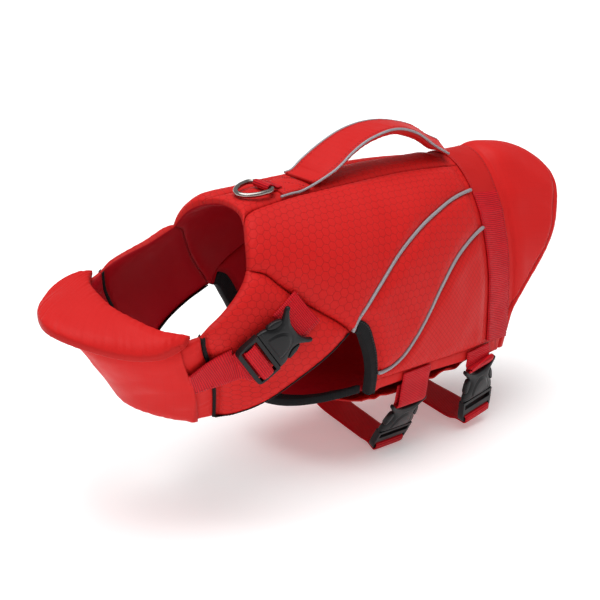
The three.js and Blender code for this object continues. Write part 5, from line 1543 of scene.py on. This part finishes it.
def in_frame(frame, a, w, n):
    a, w, n = (np.asarray(v, float)[..., None] for v in (a, w, n))
    return frame["origin"] + frame["axis"] * a + frame["width"] * w + frame["normal"] * n


def ridge(value, centre, half_width):
    return np.exp(-((value - centre) / half_width) ** 2)


def buckle_socket(name, frame):
    c = np.linspace(-1, 1, 97)[None, :]
    t = close_ends(96)[:, None]
    hollow = WAIST * (1 - np.clip(np.abs(c) / HORN_TIP_C, 0, 1) ** 3.4)
    tip = HORN_ROUND * np.clip((np.abs(c) - HORN_TIP_C) / (1 - HORN_TIP_C), 0, 1) ** 2
    back = hollow + tip
    a = back + (SOCKET_END - back) * t
    w = c * socket_half(a)
    ends = np.minimum(1, np.minimum(t, 1 - t) * 8)
    body = 2.2 + 1.6 * (1 - np.abs(c) ** 6) * (0.5 + 0.5 * ends)
    rim = np.minimum(np.minimum(t, 1 - t) * 30 / 1.1, (1 - np.abs(c)) * socket_half(a) / 1.1)
    body = body - 1.2 * (1 - np.sqrt(np.clip(rim, 0, 1) * (2 - np.clip(rim, 0, 1))))
    crown = 2 * (1 - c**2) * np.sin(np.pi * t)
    arch = np.hypot(w / 12.5, (a - 36.0) / 20.0)
    raised = 0.7 * smoothstep(-arch, -1.0, -0.86) * smoothstep(SOCKET_END - a, 4.2, 5.2)
    outline = 0.35 * ridge(arch, 1.06, 0.035) * smoothstep(SOCKET_END - a, 4.2, 5.2)
    mouth_line = 0.5 * ridge(a, MOUTH_LINE, 0.45)
    window = 0.8 * ridge(np.abs(w), socket_half(a) - 1.2, 1.2) * ridge(a, WINDOW_MIDDLE, 6.5)
    top = body + crown + raised - outline - mouth_line - window
    uv = np.stack([a + 0 * w, w], axis=2)
    return closed_body(f"{name}_socket", in_frame(frame, a, w, top),
                       in_frame(frame, a, w, mouth_line - body), uv, PLASTIC, PLASTIC)


def buckle_button(name, frame, side, word):
    c = close_ends(26)[None, :]
    t = close_ends(60)[:, None]
    a = BUTTON_MIDDLE - BUTTON_HALF + 2 * BUTTON_HALF * t
    reach = 1 + 4.2 * np.sin(np.pi * t) ** 0.8
    w = socket_half(a) + 0.25 + reach * c
    dome = (np.sqrt(np.clip(1 - (0.93 * c) ** 4, 0, 1))
            * np.sqrt(np.clip(1 - (0.96 * (2 * t - 1)) ** 8, 0, 1)))
    grip = (0.16 * np.cos((a - BUTTON_MIDDLE) * 2 * np.pi / 2.1) * smoothstep(c, 0.35, 0.8)
            * ridge(a, BUTTON_MIDDLE, 5.5))
    n = 0.7 + 2.4 * dome + grip
    uv = np.stack([a + 0 * w, w], axis=2)
    return closed_body(f"{name}_button_{word}", in_frame(frame, a, side * w, n),
                       in_frame(frame, a, side * w, -n), uv, PLASTIC, PLASTIC)


def plate_with_slots(rows):
    """Vertices and faces of a flat plate between cross rows (a, half width, slot).

    Behind a row with a slot the middle third of the plate is left open.
    """
    vertices, faces = [], []
    for sign in (1, -1):
        for a, half, _ in rows:
            inner = min(SLOT_HALF, half - 0.5)
            vertices += [(a, w, sign * BUCKLE_THICKNESS / 2) for w in (-half, -inner, inner, half)]
    count = len(rows)

    def present(j, i):
        return 0 <= j < count - 1 and 0 <= i < 3 and not (rows[j][2] and i == 1)

    def top(j, i):
        return j * 4 + i

    def under(j, i):
        return (count + j) * 4 + i

    for j in range(count - 1):
        for i in range(3):
            if present(j, i):
                corners = [(j, i), (j, i + 1), (j + 1, i + 1), (j + 1, i)]
                faces.append(tuple(top(*corner) for corner in corners))
                faces.append(tuple(under(*corners[k]) for k in (0, 3, 2, 1)))
                walls = (((j - 1, i), 1, 0), ((j + 1, i), 3, 2), ((j, i - 1), 0, 3),
                         ((j, i + 1), 2, 1))
                for beside, first, last in walls:
                    if not present(*beside):
                        a, b = corners[first], corners[last]
                        faces.append((top(*a), top(*b), under(*b), under(*a)))
    return vertices, faces


def buckle_plug(name, frame):
    h = HALF_FRAME
    (first, first_end), (second, second_end) = SLOTS
    vertices, faces = plate_with_slots([
        (SOCKET_END + 0.3, h, False), (first, h, True), (first_end, h, False), (second, h, True),
        (second_end, h - 0.6, False), (64.0, h - 1.6, False), (65.2, h - 2.8, False),
        (BUCKLE_LENGTH, h - 4.6, False)])
    points = place(in_frame(frame, *np.array(vertices).T))
    obj = new_object(f"{name}_plug", points, facing_out(points, faces), [PLASTIC])
    bevel = obj.modifiers.new("rounded edges", "BEVEL")
    bevel.width = 0.0011
    bevel.segments = 4
    bevel.limit_method = "ANGLE"
    bevel.angle_limit = math.radians(40)
    return apply_modifiers(obj)


def apply_modifiers(obj):
    """Turns the finished look of an object into its plain mesh."""
    evaluated = obj.evaluated_get(bpy.context.evaluated_depsgraph_get())
    finished = bpy.data.meshes.new_from_object(evaluated)
    obj.modifiers.clear()
    old = obj.data
    obj.data = finished
    bpy.data.meshes.remove(old)
    finished.polygons.foreach_set("use_smooth", np.ones(len(finished.polygons), bool))
    return obj


def buckle(name, frame):
    parts = [buckle_socket(name, frame), buckle_button(name, frame, -1, "a"),
             buckle_button(name, frame, 1, "b"), buckle_plug(name, frame)]
    for part in parts:
        finish_piece(part, [part.name.removesuffix("_finished")])
    print(name, "at", [round(float(v), 3) for v in place(frame["origin"])])


# %% [markdown]
# ## Belly straps
# Below each buckle's socket hangs a loop of webbing that is sewn on the hem. From the plug the
# strap passes under the belly and is sewn on the hem of the far side.

# %% Belly straps and their buckles
BELLY_STRAPS = (
    dict(word="front", x=76, joint=(75, -79, 21), end=(72, -54, -25),
         run=[(73, -30, -27), (74, 0, -24), (75, 40, -18), (76, 64, -6), (76, 82, 20)]),
    dict(word="rear", x=171, joint=(173, -83, 35), end=(178, -73, -18),
         run=[(178, -52, -24), (176, -20, -21), (174, 20, -16), (172, 50, -6), (171, 72, 18)]),
)


def blend_direction(a, b, share):
    return unit(np.asarray(a) * (1 - share) + np.asarray(b) * share)


def belly_strap(strap):
    joint, end = lean(strap["joint"]), lean(strap["end"])
    x = strap["x"]

    def hem_at(side, at_x, up=0.0, offset=0.0):
        points, _ = on_body(at_x, side * (foot_distance(at_x)[0] - up), offset)
        return lean(points)

    half = WEBBING_WIDTH / 2
    along_near = unit(hem_at(NEAR, x + half) - hem_at(NEAR, x - half))
    along_far = unit(hem_at(FAR, x + half) - hem_at(FAR, x - half))
    axis = unit(end - joint)
    start = joint - axis * WAIST
    frame = frame_between(start, end, np.cross(axis, along_near))
    buckle(f"belly_buckle_{strap['word']}", frame)

    offset = HEM_OUT + WEB_LIFT + WEBBING_THICKNESS / 2
    bend = 2.4
    turn = 5.4 - WEBBING_THICKNESS / 2 - bend

    def at(a, n):
        return in_frame(frame, a, 0.0, n)

    def on_hem(side, up, extra):
        return hem_at(side, x, up, offset + extra)

    down = [on_hem(NEAR, HEM - 1, SEWN), on_hem(NEAR, 5, 0), on_hem(NEAR, -3, 0),
            at(-2, bend + 0.6), at(turn, bend)]
    arc = [at(turn + bend * math.cos(math.pi * (0.5 - t)), bend * math.sin(math.pi * (0.5 - t)))
           for t in even(14)[1:-1]]
    up = [at(turn, -bend), at(0, -bend - 0.2)]
    under_hem = on_hem(NEAR, -6, -5.2)
    if under_hem[2] > up[1][2] + 4:
        up.append(under_hem)
    hang = np.vstack([sample(down, even(48)), arc, sample(up, even(16))])
    across_frame = frame["width"] * np.sign(np.dot(frame["width"], along_near))
    count = len(hang)
    side, normal = stations_of(hang, lambda k: blend_direction(
        along_near, across_frame, min(1.0, k / 40, (count - 1 - k) / 18)))
    strap_body(f"belly_strap_loop_{strap['word']}", hang, side, normal, WEBBING_WIDTH,
               WEBBING_THICKNESS)
    for share in (-STITCH_SHARE, STITCH_SHARE):
        remember_stitches("red", hang[:14] + side[:14] * WEBBING_WIDTH * share + normal[:14])
    for row in (1, 13):
        w = np.linspace(-STITCH_SHARE, STITCH_SHARE, 20)[:, None] * WEBBING_WIDTH
        remember_stitches("red", hang[row] + side[row] * w + normal[row])

    past = BUCKLE_LENGTH + WEBBING_THICKNESS / 2 + 0.6
    level = BUCKLE_THICKNESS / 2 + WEBBING_THICKNESS / 2 + 0.3
    fold = [at(59.2, 0), at(59.2, level - 1.5), at(60.6, level), at(past - 1.5, level),
            at(past, level - 1.5), at(past, 2 - level)]
    run = [at(past, 2 - level), at(past + 0.3, -level - 3)] + [lean(p) for p in strap["run"]]
    run += [on_hem(FAR, -6, 1), on_hem(FAR, 3, 0), on_hem(FAR, HEM - 1, SEWN)]
    folded = sample(fold, even(40))
    line = np.vstack([folded, sample(run, even(150))[1:]])
    side, normal = stations_of(line, lambda k: blend_direction(
        across_frame, along_far, min(1.0, max(0.0, (k - len(folded) - 15) / 100))))
    strap_body(f"belly_strap_{strap['word']}", line, side, normal, WEBBING_WIDTH,
               WEBBING_THICKNESS)


for strap in BELLY_STRAPS:
    belly_strap(strap)

# %% [markdown]
# ## Neck webbing
# On each arm the webbing comes from the shoulder seam to the buckle, and goes on from the plug to
# the chest cover. It lies on the padded arm, so its rows of points are found on the arm's surface.

# %% Webbing on the arms
LAST_COLUMNS = 6


def over_grid(surface, u, v, height):
    """Point over an arm at the shares u along and v across it, at a height over its base."""
    grid, normals = surface["grid"], surface["normals"]
    rows, columns = grid.shape[0] - 1, grid.shape[1] - 1
    us = length_shares(grid[rows // 2])
    vs = length_shares(grid[:, columns // 2])
    i = int(np.clip(np.searchsorted(us, u) - 1, 0, columns - 1))
    j = int(np.clip(np.searchsorted(vs, v) - 1, 0, rows - 1))
    # Past the last column the surface goes on straight, in the direction of its last columns.
    i, after = (columns - LAST_COLUMNS, columns) if i == columns - 1 else (i, i + 1)
    a = (u - us[i]) / (us[after] - us[i])
    b = (v - vs[j]) / (vs[j + 1] - vs[j])

    def at(row, col):
        return grid[row, col] + normals[row, col] * height

    upper = at(j, i) * (1 - a) + at(j, after) * a
    lower = at(j + 1, i) * (1 - a) + at(j + 1, after) * a
    return upper * (1 - b) + lower * b


def arm_row(surface, u, v, direction, height, shares):
    step = 0.02

    def at(du, dv):
        return over_grid(surface, u + du, v + dv, height)

    along_u = (at(step, 0) - at(-step, 0)) / (2 * step)
    along_v = (at(0, step) - at(0, -step)) / (2 * step)
    normal = unit(np.cross(along_u, along_v))
    tangent = unit(along_u * direction[0] + along_v * direction[1])
    side = np.cross(normal, tangent)
    uu, vv, uv = along_u @ along_u, along_v @ along_v, along_u @ along_v
    det = uu * vv - uv * uv
    du = ((side @ along_u) * vv - (side @ along_v) * uv) / det
    dv = ((side @ along_v) * uu - (side @ along_u) * uv) / det
    return np.array([over_grid(surface, u + du * w, v + dv * w, height)
                     for w in WEBBING_WIDTH * shares])


NECK_FRONT = [(1.25, 0.30), (1.16, 0.32), (1.06, 0.338), (0.98, 0.352), (0.88, 0.372), (0.78, 0.4)]
NECK_REAR = [(0.3, 0.48), (0.19, 0.497), (0.1, 0.51), (0.02, 0.525)]
NECK_BUCKLE_START, NECK_BUCKLE_END, NECK_BUCKLE_LIFT = (0.19, 0.498), (0.69, 0.43), 10.0
NECK_BUCKLE_MIDDLE = (0.44, 0.46)
OVER_BAR = [(68, -6.5), (63.5, -5.2), (60.4, -4.4), (59.2, -2.4), (59.2, 2.6), (58, 4.4), (56, 5),
            (51, 5), (48.6, 4.4), (47.2, 2.6), (47.2, -2.4)]


def arm_strap(surface, name, path, count, frame, places, turn):
    """Strap that lies on an arm, and then goes over the plug's bar if places are given."""
    line = sample(path, even(count))
    direction = np.gradient(line, axis=0)
    shares = np.linspace(-0.5, 0.5, 13)
    base, half = ARM_OUT + WEB_LIFT, WEBBING_THICKNESS / 2

    def layer(sign):
        thick = sign * half * woven_edge(shares)
        rows = []
        for (u, v), way in zip(line, direction):
            low = arm_row(surface, u, v, way, base + half, shares)
            high = arm_row(surface, u, v, way, base + half + 1.0, shares)
            rows.append(lean(low + (high - low) * thick[:, None]))
        if places:
            smooth = sample(places, even(90))
            for (a, n), (da, dn) in zip(smooth, directions(smooth)):
                rows.append(in_frame(frame, a + dn * thick, turn * WEBBING_WIDTH * shares,
                                     n - da * thick))
        return np.array(rows)

    outer, inner = layer(1), layer(-1)
    middle = (outer[:, 6] + inner[:, 6]) / 2
    along = distances_along(middle)
    uv = np.stack([along[:, None] + 0 * shares, WEBBING_WIDTH * shares + 0 * along[:, None]],
                  axis=2)
    obj = closed_body(name, outer, inner, uv, WEBBING, WEBBING)
    finish_piece(obj, [name])
    sewn = slice(2, 16) if places else slice(3, None)
    for column_at in (1, -2):
        lift = 0.1 * unit(outer[8, column_at] - inner[8, column_at])
        remember_stitches("red", outer[sewn, column_at] + lift)


def neck_straps(surface, side, word):
    start = lean(over_grid(surface, *NECK_BUCKLE_START, ARM_OUT + NECK_BUCKLE_LIFT))
    end = lean(over_grid(surface, *NECK_BUCKLE_END, ARM_OUT + NECK_BUCKLE_LIFT))
    below = lean(over_grid(surface, *NECK_BUCKLE_MIDDLE, 0.0))
    above = lean(over_grid(surface, *NECK_BUCKLE_MIDDLE, NECK_BUCKLE_LIFT))
    frame = frame_between(start, end, above - below)
    buckle(f"neck_buckle_{word}", frame)
    arm_strap(surface, f"neck_strap_front_{word}", NECK_FRONT, 40, frame, OVER_BAR, side)
    arm_strap(surface, f"neck_strap_rear_{word}", NECK_REAR, 26, frame, [], side)


neck_straps(near_arm, NEAR, "near")
neck_straps(far_arm, FAR, "far")
print("pieces so far:", len(made))

# %% [markdown]
# ## Stitches
# A row of stitches is one small thread repeated at an even pitch, so Geometry Nodes make it: each
# seam line becomes a curve, the curve is cut to the pitch, and a short bead of thread is set on
# each point, turned along the line. The result is made real geometry and then a plain mesh.

# %% Node tree for a row of stitches
RED_PITCH, DARK_PITCH = 0.0034, 0.0030
THREAD_LENGTH, THREAD_RADIUS = 0.0024, 0.00036


def stitch_tree():
    tree = bpy.data.node_groups.new("row_of_stitches", "GeometryNodeTree")
    face = tree.interface
    face.new_socket("Geometry", in_out="INPUT", socket_type="NodeSocketGeometry")
    for label, value in (("Pitch", RED_PITCH), ("Thread Length", THREAD_LENGTH),
                         ("Thread Radius", THREAD_RADIUS)):
        socket = face.new_socket(label, in_out="INPUT", socket_type="NodeSocketFloat")
        socket.default_value = value
    face.new_socket("Thread", in_out="INPUT", socket_type="NodeSocketMaterial")
    face.new_socket("Geometry", in_out="OUTPUT", socket_type="NodeSocketGeometry")
    nodes, link = tree.nodes, tree.links.new
    source, result = nodes.new("NodeGroupInput"), nodes.new("NodeGroupOutput")
    curve = nodes.new("GeometryNodeMeshToCurve")
    cut = nodes.new("GeometryNodeResampleCurve")
    cut.mode = "LENGTH"
    bead = nodes.new("GeometryNodeMeshUVSphere")
    bead.inputs["Segments"].default_value = 6
    bead.inputs["Rings"].default_value = 5
    bead.inputs["Radius"].default_value = 1.0
    size = nodes.new("ShaderNodeCombineXYZ")
    half = nodes.new("ShaderNodeMath")
    half.operation = "MULTIPLY"
    half.inputs[1].default_value = 0.5
    tangent = nodes.new("GeometryNodeInputTangent")
    turn = nodes.new("FunctionNodeAlignRotationToVector")
    turn.axis = "X"
    spread = nodes.new("GeometryNodeInstanceOnPoints")
    real = nodes.new("GeometryNodeRealizeInstances")
    paint = nodes.new("GeometryNodeSetMaterial")
    link(source.outputs["Geometry"], curve.inputs["Mesh"])
    link(curve.outputs["Curve"], cut.inputs["Curve"])
    link(source.outputs["Pitch"], cut.inputs["Length"])
    link(source.outputs["Thread Length"], half.inputs[0])
    link(half.outputs[0], size.inputs["X"])
    link(source.outputs["Thread Radius"], size.inputs["Y"])
    link(source.outputs["Thread Radius"], size.inputs["Z"])
    link(tangent.outputs["Tangent"], turn.inputs["Vector"])
    link(cut.outputs["Curve"], spread.inputs["Points"])
    link(bead.outputs["Mesh"], spread.inputs["Instance"])
    link(turn.outputs["Rotation"], spread.inputs["Rotation"])
    link(size.outputs["Vector"], spread.inputs["Scale"])
    link(spread.outputs["Instances"], real.inputs["Geometry"])
    link(real.outputs["Geometry"], paint.inputs["Geometry"])
    link(source.outputs["Thread"], paint.inputs["Material"])
    link(paint.outputs["Geometry"], result.inputs["Geometry"])
    return tree


STITCH_TREE = stitch_tree()


def sew(name, rows, thread, pitch):
    """One mesh with the stitches of all rows. A row is a line of points in metres."""
    vertices, edges = [], []
    for points in rows:
        start = len(vertices)
        vertices += [tuple(p) for p in points]
        edges += [(start + k, start + k + 1) for k in range(len(points) - 1)]
    mesh = bpy.data.meshes.new(name)
    mesh.from_pydata(vertices, edges, [])
    obj = bpy.data.objects.new(name, mesh)
    bpy.context.scene.collection.objects.link(obj)
    modifier = obj.modifiers.new("stitches", "NODES")
    modifier.node_group = STITCH_TREE
    values = {"Pitch": pitch, "Thread": thread}
    for item in STITCH_TREE.interface.items_tree:
        if item.in_out == "INPUT" and item.name in values:
            modifier[item.identifier] = values[item.name]
    apply_modifiers(obj)
    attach(obj, "root")
    made[name] = len(obj.data.polygons)
    print(name, made[name], "faces in", len(rows), "rows")


# %% The row along the tail's rim, and all rows sewn
bottom = border_distances(tail_grid)[3]
row_at = np.argmin(np.abs(bottom - TAIL_STITCH), axis=0)
every = np.arange(tail_grid.shape[1])
picked = tail_grid[row_at, every][6:-6]
heights = tail_height[row_at, every][6:-6] + 0.3
smooth_x = np.convolve(picked[:, 0], np.ones(5) / 5, "same")[2:-2]
points, _ = on_body(smooth_x, picked[2:-2, 1], heights[2:-2])
remember_stitches("red", lean(points))

sew("stitches_red", stitch_lines["red"], RED_THREAD, RED_PITCH)
sew("stitches_dark", stitch_lines["dark"], DARK_THREAD, DARK_PITCH)

# %% [markdown]
# ## Floor, light and camera
# The jacket was photographed on white paper: a wide soft light from above and a bit from the left,
# with a fill from the right. The paper glows a little, so that it comes out white and still takes
# the soft shadow. Colours are shown as they are, since a film curve would turn the red to pink.
# The camera is a long lens, 1.5 m away, and looks down by 21.5 degrees, from the front left.

# %% Paper, lights and camera
PAPER_REACH, PAPER_GLOW, ROOM_LIGHT = 30.0, 0.24, 0.32
lowest = min((obj.matrix_world @ Vector(corner)).z
             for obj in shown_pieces() for corner in obj.bound_box)
paper_mesh = bpy.data.meshes.new("paper")
paper_mesh.from_pydata([(a * PAPER_REACH, b * PAPER_REACH, lowest)
                        for a, b in ((-1, -1), (1, -1), (1, 1), (-1, 1))], [], [(0, 1, 2, 3)])
paper = bpy.data.objects.new("paper", paper_mesh)
bpy.context.scene.collection.objects.link(paper)
paper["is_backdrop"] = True
paper_material, paper_tree, paper_shader = new_material("white_paper", (0.93, 0.93, 0.93), 0.9)
mottle = noise(paper_tree, object_place(paper_tree), 2.0, 1.0)
paper_tree.links.new(mix(paper_tree, mottle, (0.92, 0.92, 0.92, 1), (0.95, 0.95, 0.95, 1)),
                     paper_shader.inputs["Base Color"])
paper_shader.inputs["Emission Color"].default_value = (1.0, 1.0, 1.0, 1)
paper_shader.inputs["Emission Strength"].default_value = PAPER_GLOW
paper_mesh.materials.append(paper_material)
bpy.context.scene.view_settings.view_transform = "Standard"

world = bpy.data.worlds.new("studio")
world.use_nodes = True
world.node_tree.nodes["Background"].inputs["Color"].default_value = (1.0, 1.0, 1.0, 1)
world.node_tree.nodes["Background"].inputs["Strength"].default_value = ROOM_LIGHT
bpy.context.scene.world = world
TARGET = (np.array([0.0, 0.0, 130.0]) - CARRY) / 1000.0


def set_up(name, data, where, direction):
    """Puts a light or a camera into the scene, turned to look in a direction."""
    obj = bpy.data.objects.new(name, data)
    obj.location = where
    obj.rotation_mode = "QUATERNION"
    obj.rotation_quaternion = direction.to_track_quat("-Z", "Y")
    bpy.context.scene.collection.objects.link(obj)
    return obj


def area_light(name, where, size, power):
    light = bpy.data.lights.new(name, "AREA")
    light.shape = "RECTANGLE"
    light.size, light.size_y = size
    light.energy = power
    set_up(name, light, Vector(where), Vector(TARGET) - Vector(where))


def ceiling_light(name, direction, strength, softness):
    """Far light that falls evenly on the whole paper. softness is its apparent size in degrees."""
    light = bpy.data.lights.new(name, "SUN")
    light.energy = strength
    light.angle = math.radians(softness)
    set_up(name, light, Vector((0, 0, 0)), Vector(direction))


ceiling_light("top_softbox", (0.12, -0.06, -1.0), 2.75, 60.0)
area_light("key_softbox", (-0.95, -0.75, 0.75), (0.7, 0.7), 1.0)
area_light("side_fill", (0.9, -1.2, 0.35), (0.9, 0.7), 0.3)

AZIMUTH, ELEVATION, DISTANCE, PICTURE_WIDTH = math.radians(-38.0), math.radians(21.5), 1.5, 0.6
camera_data = bpy.data.cameras.new("photo_camera")
camera_data.sensor_width = 36.0
camera_data.lens = camera_data.sensor_width * DISTANCE / PICTURE_WIDTH
back = Vector((math.sin(AZIMUTH) * math.cos(ELEVATION), -math.cos(AZIMUTH) * math.cos(ELEVATION),
               math.sin(ELEVATION)))
camera = set_up("photo_camera", camera_data, Vector(TARGET) + back * DISTANCE, -back)
bpy.context.scene.camera = camera
print("camera at", [round(v, 3) for v in camera.location], "lowest point", round(lowest, 4))

print("pieces:", len(made), "faces:", sum(made.values()))
